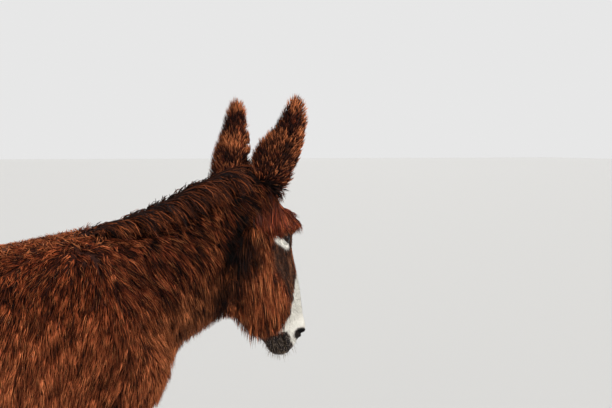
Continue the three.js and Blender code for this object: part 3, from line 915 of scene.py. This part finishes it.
def cheek_density(points):
    h = in_head(points)
    x, _, z = h.T
    cheek = head_share(points) * cheek_share(h) * (1 - brow_share(h))
    cheek = cheek * step(0.02, 0.06, x) * step(0.46, 0.42, x)
    jaw = (z < -0.125) * (x > 0.22)
    return np.maximum(60000 * (head_edge(points) > 0.3), (14000 + 16000 * jaw) * (cheek > 0.5))


def varied(colour, middle, spread, more=0.0):
    """Colours along each tuft, with every tuft brighter or darker as a whole."""
    return colour * np.exp(normal(middle, spread, len(colour)) + more)[:, None, None]


def from_root(root, tip, share, steps, power=1.6):
    """Colours along each tuft, from the root's towards the tip's by a share for each tuft."""
    t = np.linspace(0, 1, steps)[None, :, None] ** power
    return root[..., None, :] + np.atleast_2d(tip - root)[:, None] * t * share[:, None, None]


def tuft_colours(points, leader, steps):
    """Dark roots, in part painted shade deep in the coat, the coat's own colour, and lighter, redder tips."""
    count = len(points)
    draw = drawer(count)
    h = in_head(points)
    head, ears = head_share(points), ear_share(points)
    base = markings(points)
    plain_hair = np.clip(step(0.25, 0.4, base.min(1)) + head * step(0.46, 0.5, h[:, 0]), 0, 1)
    light = normal(0, 0.52, count) + 0.55 * normal(0, 1, count)[leader] + 0.25 * noise(points, 0.05, 80)
    light += mix(1.0 + 0.5 * neck_share(points), 1.6, head) * streaks(points) - 0.32
    warm = np.clip(normal(0.3, 0.35, count) + 0.3 * noise(points, 0.08, 90), 0, 1)
    tip = mix(base * 2.6, RED_TIP * 1.5, warm * 0.5)
    low = step(1.0, 0.8, (points + SHIFT)[:, 2]) * (1 - head)
    pale = (draw() < 0.06 + 0.08 * low) * (1 - ears)
    tip = mix(tip, TAN, pale * draw(0.2, 0.7))
    # Ear tufts paler at the tips and rims: partly their own pale hair, partly a painted glow of light through
    # them; the dark stripe down the middle is painted shade.
    for _, (_, y, z), near in by_ears(points):
        high, rim = z / EAR_LENGTH, step(0.70, 0.95, np.abs(y) / ear_half(z))
        lit = 0.18 + 0.95 * step(0.80, 0.93, high) + 0.55 * rim * step(0.15, 0.5, high)
        lit += 0.50 * bump(high, 0.50, 0.14) - 0.30 * bump(high, 0.70, 0.13) * (1 - rim)
        lit += 0.35 * noise(points, 0.04, 91)
        own = ears * near
        bright = own * step(-0.25, 0.25, lit - draw())
        base = mix(base, mix(base * 0.7, EAR_TUFT * 0.42, bright), own)
        tip = mix(tip, mix(base * 1.6, EAR_TUFT * draw(0.9, 1.6)[:, None], bright), own)
    speck = draw() < 0.16 + 0.25 * step(-0.060, -0.035, h[:, 2])
    base = mix(base, SPECK, head * chin_share(h) * speck)
    tip = mix(tip, base, plain_hair)
    # Roots far darker than the hair, in part painted shade deep in the coat.
    root = mix(base * 0.12, base * 0.97, plain_hair)
    root, base, tip = (colour[:, None] for colour in (root, base, tip))
    t = np.linspace(0, 1, steps)[None, :, None]
    colour = np.where(t < 0.5, root + (base - root) * t * 2, base + (tip - base) * (t * 2 - 1))
    return colour * np.exp(light * (1 - 0.92 * plain_hair))[:, None, None]


def grow_coat():
    """The coat over the whole body, in curved tufts that gather into locks."""
    points, normals, uv, draw = sow(long_density)
    count = len(points)
    head, ears, tail = head_share(points), ear_share(points), tail_share(points)
    high = step(0.9, 1.0, (points + SHIFT)[:, 2])
    woolly = step(0.55, 0.95, normals[:, 2]) * (1 - head) * (1 - ears) * high
    length = coat_length(points) * draw(0.7, 1.2)
    swirl = mix(0.30, 1.1, woolly) * (1 - 0.5 * head) * (1 - 0.5 * tail)
    way = lie(points) + swirl[:, None] * (0.7 * noise3(points, 0.12, 50) + 0.8 * noise3(points, 0.035, 60))
    way = tangent(way, normals)
    leader = leaders(points)
    lock = mix(mix(0.6, 0.75, np.maximum(head, neck_share(points))), 0.35, ears)
    way = mix(way, way[leader], lock) + normal(0, 1, (count, 3)) * mix(0.16, 0.4, woolly)[:, None]
    way = tangent(way, normals)
    reach = mix(np.clip(coat_depth(points) / length, 0.15, 0.62), 0.55, ears)
    start = np.arcsin(np.clip(reach * 1.35, 0, 0.95)) * draw(0.75, 1.15)
    end = np.arcsin(np.clip(reach * 0.35, 0, 0.9)) * draw(0.6, 1.5)
    end = mix(end, start * 0.8, ears)
    bend = np.cross(way, normals) * (normal(0, 1, count) * mix(0.08, 0.35, woolly))[:, None]
    path = [points - normals * 0.0015]
    for k, (t, part) in enumerate([(0.2, 0.42), (0.7, 0.58)]):
        angle = start + (end - start) * t
        go = way * np.cos(angle)[:, None] + normals * np.sin(angle)[:, None] + bend * (1 - 2 * k)
        go[:, 2] -= 0.12 * (1 - ears) * (k + 1)
        path.append(path[-1] + unit(go) * (length * part)[:, None])
    path = np.stack(path, 1)
    near = np.linalg.norm(points[leader] - points, axis=1) < 0.04
    pull = (np.where(near, 0.75, 0) * lock)[:, None]
    for k, share in ((2, 1.0), (1, 0.3)):
        path[:, k] += (path[leader, k] - path[:, k]) * pull * share
    width = mix(0.0027, 0.0020, head) * draw(0.5, 1.4)
    width = mix(width, 0.0019 * draw(0.6, 1.3), np.maximum(ears, head * brow_share(in_head(points))))
    make_tufts("coat", path, normals, width, tuft_colours(points, leader, 3), uv)


def grow_short():
    """Straight small tufts where the coat lies short: the face, the muzzle and the legs."""
    points, normals, uv, draw = sow(short_density)
    count = len(points)
    head = head_share(points)
    length = coat_length(points) * draw(0.8, 1.2)
    way = tangent(lie(points) + 0.18 * noise3(points, 0.05, 70) + normal(0, 0.12, (count, 3)), normals)
    lift = np.clip(coat_depth(points) / length, 0.15, 0.4) * draw(0.6, 1.1)
    tip = points + (way * np.sqrt(1 - lift**2)[:, None] + normals * lift[:, None]) * length[:, None]
    width = mix(0.0044, 0.0022, head) * draw(0.7, 1.2)
    width = width * (1 - 0.4 * head * chin_share(in_head(points)))
    colour = tuft_colours(points, np.arange(count), 2)
    make_tufts("coat_short", np.stack([points - normals * 0.001, tip], 1), normals, width, colour, uv)


def grow_guard():
    """Thin straight guard hairs over the coat, some bright, most dark."""
    points, normals, uv, draw = sow(guard_density)
    count = len(points)
    length = coat_length(points) * draw(0.9, 1.25)
    way = lie(points) + 0.25 * noise3(points, 0.12, 50) + 0.2 * noise3(points, 0.035, 60)
    way = tangent(way + normal(0, 0.10, (count, 3)), normals)
    reach = np.clip((coat_depth(points) + draw(0, 0.005)) / length, 0.15, 0.5)
    go = unit(way * np.sqrt(1 - reach**2)[:, None] + normals * reach[:, None] + 0.10 * DOWN)
    path = np.stack([points + go * (length * share)[:, None] for share in (0.25, 1)], 1)
    colour = tuft_colours(points, np.arange(count), 2)
    bright = step(0.62, 0.9, draw()) * (markings(points).min(1) < 0.25)
    gold = mix(RED_TIP * 1.3, TAN * 1.1, draw() ** 1.5)
    colour[:, 0] = mix(colour[:, 1] * 0.45, gold * 0.4, bright)
    colour[:, 1] = mix(colour[:, 1], gold, bright)
    make_tufts("guard_hair", path, normals, draw(0.0012, 0.0020), colour, uv)


def grow_wool():
    """Woolly curls along the back, and upright tufts before the withers."""
    points, normals, uv, draw = sow(wool_density)
    count = len(points)
    upright = step(0.02, 0.14, (points + SHIFT)[:, 0])
    way = unit(noise3(points, 0.06, 120) + 0.5 * normal(0, 1, (count, 3)) + [-0.3, 0, 0])
    way = tangent(way, normals)
    rise = mix(draw(0.5, 1.1), draw(0.7, 1.3), upright)
    start = unit(way + normals * rise[:, None])
    curl = np.cross(start, normals) * normal(0, 1, count)[:, None]
    curl = mix(curl - 1.6 * normals, curl * 0.3 + 0.5 * way - 0.3 * normals, upright)
    lengths = mix(draw(0.034, 0.056), draw(0.020, 0.034), upright)
    path = [points - normals * 0.001]
    for k in range(4):
        path.append(path[-1] + unit(start + curl * (k / 4) ** 1.2) * (lengths / 4)[:, None])
    base = markings(points)
    # Lighter tips at random: partly their own paler hair, partly painted highlight on the top of the back.
    lit = mix(draw() ** 1.1, draw(0.3, 1), upright)
    bright = mix(RED_TIP * 2.8, TAN * 1.3, 0.7 * upright * draw())
    tips = bright * lit[:, None] + base * (1 - lit)[:, None]
    colour = varied(from_root(base * 0.25, tips, np.ones(count), 5, 1.3), 0, 0.3)
    width = mix(draw(0.0032, 0.0052), draw(0.0018, 0.0030), upright)
    make_tufts("wool", np.stack(path, 1), normals, width, colour, uv)


def hang(roots, normals, ways, lengths, steps, droop, clear, furthest=1.0):
    """Paths of locks that bend down by their weight, clear of the skin, and near it but for their ends."""
    if np.ndim(clear) == 1:
        clear = np.tile(clear[:, None], steps)
    path = [roots - normals * 0.002]
    way = unit(ways)
    for k in range(steps):
        way = unit(way + DOWN * droop[:, None] * (k + 0.5) / steps)
        spots = path[-1] + way * (lengths / steps)[:, None]
        for i, spot in enumerate(spots):
            near, outward, _, _ = skin_tree.find_nearest(spot)
            out = (Vector(spot) - near).dot(outward)
            if out < clear[i, k]:
                spots[i] = np.array(near) + np.array(outward) * clear[i, k]
            elif out > furthest and k < steps - 2:
                spots[i] = np.array(near) + np.array(outward) * furthest
        way = unit(spots - path[-1])
        path.append(spots)
    return np.stack(path, 1)


def roots_near(targets):
    """The nearest places of the skin, with their normals and places in the unwrap."""
    places, normals, faces, _ = zip(*(skin_tree.find_nearest(p) for p in targets))
    return np.array(places), np.array(normals), skin_uv[list(faces)].mean(1)


def grow_mane():
    """Long dark strands along the crest that fall over the right side, with a few standing up."""
    count = 4850
    draw = drawer(count)
    share = draw(0.10, 1.08)
    aside = normal(-0.006, 0.016, count)
    height = curve(share, (0.1, 0.24), (0.5, 0.2), (1.0, 0.2))
    points, normals, uv = roots_near(from_neck(np.stack([share * NECK_LENGTH, aside, height], 1)))
    along = np.stack([share * NECK_LENGTH, 0 * aside, 0 * aside], 1)
    lock = noise(along, 0.045, 30) + 0.6 * noise(along, 0.016, 31)
    left = draw() < 0.12
    stand = draw() < 0.06
    full = curve(share, (0.1, 0.25), (0.3, 0.55), (0.5, 1.0), (1.0, 1.0))
    rise = np.where(stand, draw(0.7, 1.2), draw(0.0, 0.35))
    over = np.where(left, 1.0, -1.0) * draw(0.7, 1.2)
    ahead = 0.90 + 0.30 * lock + normal(0, 0.14, count)
    way = NECK[:, 2] * rise[:, None] + NECK[:, 1] * over[:, None] + NECK[:, 0] * ahead[:, None]
    lengths = (0.05 + 0.16 * draw() ** 0.9) * full * np.exp(0.45 * lock)
    lengths = np.minimum(lengths, 0.22) * np.where(stand, 0.3, np.where(left, 0.7, 1.0))
    droop = np.where(stand, 0.3, draw(0.3, 0.65))
    clear = np.linspace(0.004, 1, 6) * (mix(0.010, 0.017, full) + draw(-0.006, 0.008))[:, None]
    path = hang(points, normals, way, lengths, 6, droop, clear)
    path[:, 2:] += noise3(path[:, 2:].reshape(-1, 3), 0.05, 33).reshape(count, -1, 3) * 0.004
    n = in_neck(path.reshape(-1, 3))
    over_ridge = np.where(stand, 0.006, -0.002) + normal(0, 0.003, count)
    n[:, 2] = np.minimum(n[:, 2], mane_top(n) + np.repeat(over_ridge, path.shape[1]))
    path = from_neck(n).reshape(path.shape)
    width = draw(0.0014, 0.0034)
    red = step(0.45, 1.0, np.clip(draw() + 0.15 * lock, 0, 1))
    colour = varied(from_root(MANE * 0.6, RED_TIP, red * 0.95, 7), -0.1, 0.4, 0.5 * lock)
    keep = ear_share(path.reshape(-1, 3)).reshape(count, -1).max(1) < 0.6
    up = np.tile(NECK[:, 1], (keep.sum(), 1))
    make_tufts("mane_locks", path[keep], up, width[keep], colour[keep], uv[keep], LONG_HAIR, ["mane"])


def grow_forelock():
    """The fringe from the poll down over the brow."""
    count = 2900
    draw = drawer(count)
    around = draw(-2.3, 2.3) * draw(0.7, 1)
    x = draw(-0.02, 1) * curve(np.abs(around), (1.0, 0.15), (2.1, 0.09))
    spots = np.stack([x, 0.10 * np.sin(around), 0.025 + 0.10 * np.cos(around)], 1)
    points, normals, uv = roots_near(from_head(spots))
    way = DOWN + 0.35 * normals + normal(0, 0.07, (count, 3))
    level = head_at[2] - 0.137 - 0.018 * bump(in_head(points)[:, 1], 0.01, 0.075)
    bottom = level + normal(0, 0.006, count) + 0.004 * noise(points, 0.03, 36)
    lengths = np.clip((points[:, 2] - bottom) * 1.08, 0.015, 0.115)
    clear = np.array([0.5, 0.9, 1.0, 0.9]) * draw(0.007, 0.017)[:, None]
    path = hang(points, normals, way, lengths, 4, draw(1.2, 2.4), clear, 0.017)
    fall = (points[:, 2] - bottom) / np.maximum(points[:, 2] - path[:, -1, 2], 0.01)
    path[:, :, 2] = points[:, 2:] + (path[:, :, 2] - points[:, 2:]) * np.clip(fall, 1, 2)[:, None]
    path[:, 1:-1] = 0.5 * path[:, 1:-1] + 0.25 * (path[:, :-2] + path[:, 2:])
    wine = mix(BROW * 0.8, RED_TIP * [1.2, 1.1, 1.1], draw() ** 3)
    colour = from_root(BROW * 0.30, wine, np.ones(count), 5, 1)
    colour = varied(colour, -0.3, 0.6, 1.3 * streaks(points))
    make_tufts("forelock", path, normals, draw(0.0015, 0.0026), colour, uv, LONG_HAIR)


def grow_cheeks():
    """Long locks that hang from the cheeks and stand clear of the neck."""
    points, normals, uv, draw = sow(cheek_density)
    count = len(points)
    way = DOWN + 0.35 * normals + 0.12 * noise3(points, 0.04, 35) + normal(0, 0.06, (count, 3))
    edge = head_edge(points) > 0.3
    lengths = draw(0.045, 0.080) * np.where(edge, 1.1, 1.0)
    lengths = mix(lengths, draw(0.030, 0.037), step(-0.13, -0.19, in_head(points)[:, 2]))
    clear = np.linspace(0.5, 1, 4) * draw(0.010, 0.020)[:, None]
    path = hang(points, normals, way, lengths, 4, np.full(count, 0.5), clear)
    tip = mix(RED_TIP * 1.3, TAN, step(0.5, 1.0, draw()))
    share = np.where(edge, draw(0.4, 1), draw() ** 1.5)
    colour = varied(from_root(CHEEK * 0.25, tip, share, 5, 1.5), 0, 0.4, 1.5 * streaks(points))
    make_tufts("cheek_locks", path, normals, draw(0.0014, 0.0024), colour, uv)


def grow_tail():
    """Longer hair over the tail's lower half and its tuft."""
    count = 2200
    draw = drawer(count)
    z = 0.40 + 0.44 * draw() ** 1.3
    angle = draw(0, 2 * math.pi)
    spots = np.stack([-0.684 + 0.03 * np.cos(angle), 0.015 + 0.03 * np.sin(angle), z], 1)
    points, normals, uv = roots_near(spots - SHIFT)
    end = 0.375 + 0.14 * draw() ** 2
    lengths = np.clip(z - end, 0.03, draw(0.09, 0.19))
    way = DOWN + 0.25 * normals + normal(0, 0.08, (count, 3))
    clear = 0.002 + draw(0.003, 0.014) * step(0.86, 0.70, z)
    path = hang(points, normals, way, lengths, 4, np.full(count, 0.8), clear)
    colour = varied(from_root(MANE * 0.8, RED_TIP, draw(0, 0.6), 5), 0, 0.25)
    make_tufts("tail_locks", path, normals, draw(0.0024, 0.004), colour, uv, LONG_HAIR)


def bent(roots, ways, bend, lengths):
    """Paths of short hairs that leave their roots along a way and bend."""
    t = np.linspace(0, 1, 4)[None, :, None]
    return roots[:, None] + (ways[:, None] * t + np.atleast_2d(bend)[:, None] * t**2) * lengths[:, None, None]


def grow_ear_hair():
    """Pale hair inside the ears and along their front edges."""
    count = 1000
    draw = drawer(count)
    made = []
    for at, axes in ear_frames.values():
        z = draw(0.01, 0.25)
        edge = rng.choice([-1.0, 1.0], count)
        y = edge * ear_half(z) * draw(0.3, 0.97)
        spots = np.stack([draw(-0.005, 0.03), y, z], 1) @ axes.T + at
        points, normals, uv = roots_near(spots)
        way = axes[:, 2] * 0.9 + axes[:, 0] * 0.5 - (edge * 0.45)[:, None] * axes[:, 1] + 0.3 * normals
        way = unit(way + normal(0, 0.15, (count, 3)))
        curl = -axes[:, 1] * (edge * 0.25)[:, None]
        made.append((bent(points, way, curl, draw(0.02, 0.042)), normals, uv))
    path, up, uv = (np.concatenate(parts) for parts in zip(*made))
    draw = drawer(len(path))
    colour = varied(from_root(EAR_BACK, EAR_TUFT, draw(0.2, 1), 4), 0, 0.4)
    make_tufts("ear_hair", path, up, draw(0.0014, 0.0024), colour, uv)


def grow_whiskers():
    """Sparse long hairs on the lips and chin, and the lashes of the upper lids."""
    count, lashes = 240, 46
    draw = drawer(count)
    x, side = draw(0.49, 0.60), rng.choice([-1, 1], count)
    spots = np.stack([x, side * draw(0.0, 0.06), draw(-0.13, -0.02)], 1)
    points, normals, uv = roots_near(from_head(spots))
    way = unit(0.7 * normals + 0.7 * HEAD[:, 0] + normal(0, 0.25, (count, 3)))
    path = bent(points, way, DOWN * 0.5, draw(0.008, 0.022))
    made = [(path, normals, from_root(CHARCOAL, PALE, draw(0.2, 1), 4), uv)]
    for sign in SIDES.values():
        centre, along, over, gaze = eye_axes(sign)
        a = rng.uniform(0.25, math.pi - 0.25, lashes)
        edge = np.outer(np.cos(a) * 0.0190, along) + np.outer(np.sin(a) * 0.0128, over)
        depth = np.sqrt(EYE_RADIUS**2 - (edge**2).sum(1)) + 0.002
        roots = centre + edge + depth[:, None] * gaze
        out = unit(0.45 * gaze + 0.80 * over + 0.5 * edge / 0.019 + normal(0, 0.08, (lashes, 3)))
        path = from_head(bent(roots, out, over * -0.35, rng.uniform(0.006, 0.010, lashes)))
        up, colour = np.tile(HEAD @ gaze, (lashes, 1)), np.tile(CHARCOAL * 0.35, (lashes, 4, 1))
        made.append((path, up, colour, roots_near(from_head(roots))[2]))
    path, up, colour, uv = (np.concatenate(parts) for parts in zip(*made))
    make_tufts("whiskers", path, up, np.full(len(path), 0.0007), colour, uv, LONG_HAIR)


grow_coat()
grow_short()
grow_guard()
grow_wool()
grow_mane()
grow_forelock()
grow_cheeks()
grow_tail()
grow_ear_hair()
grow_whiskers()

# The skin's colour with the painted shade and light of the cheek laid on it.
skin_shade = markings(skin_points) * painted_light_and_shade(skin_points)[:, None]
under_coat = np.where(skin_shade.min(1) > 0.3, 0.9, 0.28)
tint(skin.data, skin_shade * under_coat[:, None])
skin.data.materials.append(finish("skin", "coat", 0.75, 0.2, 500.0, 0.001)[1])
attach(skin, "root")
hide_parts(*FLESH)

# ---- Eyes and hooves


def ring_piece(name, rings, colours, surface, replaced):
    """One smooth body of a stack of rings of points, each of the same number, closed at its ends."""
    around = len(rings[0])
    points = np.concatenate([*rings, [rings[0].mean(0)], [rings[-1].mean(0)]])
    shades = np.concatenate([*colours, [colours[0].mean(0)], [colours[-1].mean(0)]])
    n = np.arange(around)
    m = (n + 1) % around
    faces = []
    last = (len(rings) - 1) * around
    for a in range(0, last, around):
        b = a + around
        faces += [np.stack([a + n, a + m, b + m], 1), np.stack([a + n, b + m, b + n], 1)]
    bottom = last + around
    faces += [np.stack([bottom + 0 * n, m, n], 1), np.stack([bottom + 1 + 0 * n, last + n, last + m], 1)]
    mesh = set_mesh(name, points, np.concatenate(faces))
    tint(mesh, np.clip(shades, 0, 1))
    dress(name, mesh, surface, [replaced])


PUPIL = srgb(9, 10, 16)
IRIS = srgb(38, 23, 14)
IRIS_RIM = srgb(20, 12, 9)
BALL_RIM = srgb(66, 48, 40)
EYE_AROUND = 64


def make_eye(side, surface):
    """An eyeball with its cornea standing out, a pupil that lies level, and a streaked iris."""
    centre, along, over, gaze = eye_axes(SIDES[side])
    around = np.linspace(0, 2 * math.pi, EYE_AROUND, endpoint=False)[:: -SIDES[side]]
    streak = 1 + 0.35 * np.sin(around * 31 + 2 * np.sin(around * 5)) * 0.5 + 0.2 * np.sin(around * 13)
    rings, colours = [], []
    for angle in np.concatenate([np.linspace(0.03, 0.75, 26), np.linspace(0.82, math.pi - 0.05, 22)]):
        radius = EYE_RADIUS - 0.0004 + 0.0013 * step(0.62, 0.2, angle)
        u, v = math.sin(angle) * np.cos(around), math.sin(angle) * np.sin(around)
        ring = centre + radius * (np.outer(u, along) + np.outer(v, over) + math.cos(angle) * gaze)
        rings.append(from_head(ring))
        pupil = np.hypot(u / 0.38, v / 0.22)
        shade = mix(PUPIL, IRIS * streak[:, None], step(0.9, 1.15, pupil))
        for colour, share in ((IRIS_RIM, step(0.50, 0.60, angle)), (BALL_RIM, step(0.66, 0.85, angle))):
            shade = shade + (colour - shade) * share
        colours.append(shade)
    ring_piece(f"eyeball_{side}", rings, colours, surface, f"eye_{side}")


HORN = srgb(62, 54, 48)
HOOF_AHEAD = [(0.0, 0.014), (0.012, 0.012), (0.066, 0.0), (0.078, -0.003)]  # over the height
HOOF_HALF_LENGTH = [(0.0, 0.059), (0.012, 0.058), (0.066, 0.045), (0.078, 0.038)]
HOOF_HALF_WIDTH = [(0.0, 0.047), (0.012, 0.0465), (0.066, 0.042), (0.078, 0.036)]
HOOF_TOE = 0.073  # from the hoof's middle to its toe
SOLE = [(0.25, 0.006), (0.5, 0.005), (0.72, 0.004), (0.84, 0.0008), (0.9, 0.0)]  # share, height
HOOF_AROUND = 72


def make_hoof(leg, surface):
    """A hoof wall with rings of growth, round a sole that arches up behind its rim."""
    low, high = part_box(f"hoof_{leg}")
    at = np.array([high[0] - HOOF_TOE, (low[1] + high[1]) / 2, 0])
    around = np.linspace(0, 2 * math.pi, HOOF_AROUND, endpoint=False)
    ahead, aside = np.cos(around), np.sin(around)
    heel = np.where(ahead < 0, 0.72, 1.0) + 0.03 * np.exp(-(((ahead + 0.75) / 0.15) ** 2))
    wave = np.random.default_rng(len(leg) * 7 + ord(leg[-1])).uniform(0, 6, 4)

    def ring(z, share, lift=0.0):
        x = curve(z, *HOOF_AHEAD) + curve(z, *HOOF_HALF_LENGTH) * heel * ahead * share
        y = curve(z, *HOOF_HALF_WIDTH) * aside * share
        return np.stack([x, y, np.full(HOOF_AROUND, z + lift)], 1) + at

    rings = [ring(0.0, share, lift) for share, lift in SOLE]
    colours = [np.tile(HORN * (0.8 if share < 0.8 else 1.2), (HOOF_AROUND, 1)) for share, _ in SOLE]
    for z in np.linspace(0.0008, 0.074, 46):
        ripple = 0.0035 * math.sin(z * 2 * math.pi / 0.0075 + wave[0]) + 0.002 * math.sin(z * 900 + wave[1])
        rings.append(ring(z, 0.994 - 0.012 * step(0.003, 0.0, z) + ripple * step(0.0, 0.006, z)))
        streak = 1 + 0.18 * np.sin(around * 23 + wave[3]) * np.sin(around * 7) + 18 * ripple
        paler = 1 + 0.7 * step(0.055, 0.074, z) + 0.3 * step(0.02, 0.0, z)
        colours.append(HORN * (streak * paler)[:, None])
    ring_piece(f"horn_{leg}", rings, colours, surface, f"hoof_{leg}")


gloss = finish("eye", "eye", 0.10, 0.15, 60.0, 0.00002)
for side_name in SIDES:
    make_eye(side_name, gloss)
horn = finish("horn", "horn", 0.5, 0.35, 250.0, 0.0006)
for leg_name in LEGS:
    make_hoof(leg_name, horn)

# ---- Camera, floor, light

CAMERA_PLAIN = np.array([0.501, -2.134, 1.457])  # before the model was centred, as HEAD_PLAIN
CAMERA_YAW = math.radians(76.9)
CAMERA_DOWN = math.radians(4.71)
SENSOR = 36
LENS = 40.224


def placed(name, data, at, way):
    """A lamp or a camera at a place, looking along a way."""
    made = new_object(name, data)
    made.location = Vector(at)
    made.rotation_euler = Vector(way).to_track_quat("-Z", "Y").to_euler()
    return made


view = bpy.data.cameras.new("camera")
view.lens = LENS
view.sensor_width = SENSOR
view.clip_end = 200
level = math.cos(CAMERA_DOWN)
looking = (math.cos(CAMERA_YAW) * level, math.sin(CAMERA_YAW) * level, -math.sin(CAMERA_DOWN))
bpy.context.scene.camera = placed("camera", view, CAMERA_PLAIN - SHIFT, looking)

for name, way, strength, softness, colour in (
    ("key", (-0.55, 0.70, -0.65), 3.0, 9, (1.0, 0.97, 0.93)),
    ("fill", (0.9, 0.5, -0.35), 0.35, 60, (1, 1, 1)),
    ("back", (-0.3, -0.9, -0.6), 0.7, 30, (1, 1, 1)),
):
    sun = bpy.data.lights.new(name, "SUN")
    sun.energy = strength
    sun.angle = math.radians(softness)
    sun.color = colour
    placed(name, sun, (0, 0, 3), way)

BACKGROUND = (0.80, 0.80, 0.80, 1)
SKY = (0.93, 0.96, 1.0, 1)
SKY_STRENGTH = 0.26
world = bpy.data.worlds.new("studio")
bpy.context.scene.world = world
world.use_nodes = True
tree = world.node_tree
seen = add_node(tree, "Background", Color=BACKGROUND)
lit = tree.nodes["Background"]
lit.inputs["Color"].default_value = SKY
lit.inputs["Strength"].default_value = SKY_STRENGTH
light_path = add_node(tree, "LightPath")
shown = light_path.outputs["Is Camera Ray"]
for kind in ("Glossy", "Transmission"):
    either = add_node(tree, "Math", {0: shown, 1: light_path.outputs[f"Is {kind} Ray"]})
    either.operation = "MAXIMUM"
    shown = either.outputs[0]
choose = add_node(tree, "MixShader", {0: shown, 1: lit.outputs[0], 2: seen.outputs[0]})
link(tree, tree.nodes["World Output"], {"Surface": choose.outputs[0]})

bpy.context.scene.view_settings.view_transform = "Standard"

floor_mesh = bpy.data.meshes.new("floor")
floor_mesh.from_pydata([(-60, -60, 0), (60, -60, 0), (60, 90, 0), (-60, 90, 0)], [], [(0, 1, 2, 3)])
floor_paint = bpy.data.materials.new("floor")
floor_paint.use_nodes = True
paint = floor_paint.node_tree.nodes["Principled BSDF"]
paint.inputs["Base Color"].default_value = (0.72, 0.72, 0.71, 1)
paint.inputs["Roughness"].default_value = 0.9
floor_mesh.materials.append(floor_paint)
floor = new_object("floor", floor_mesh)
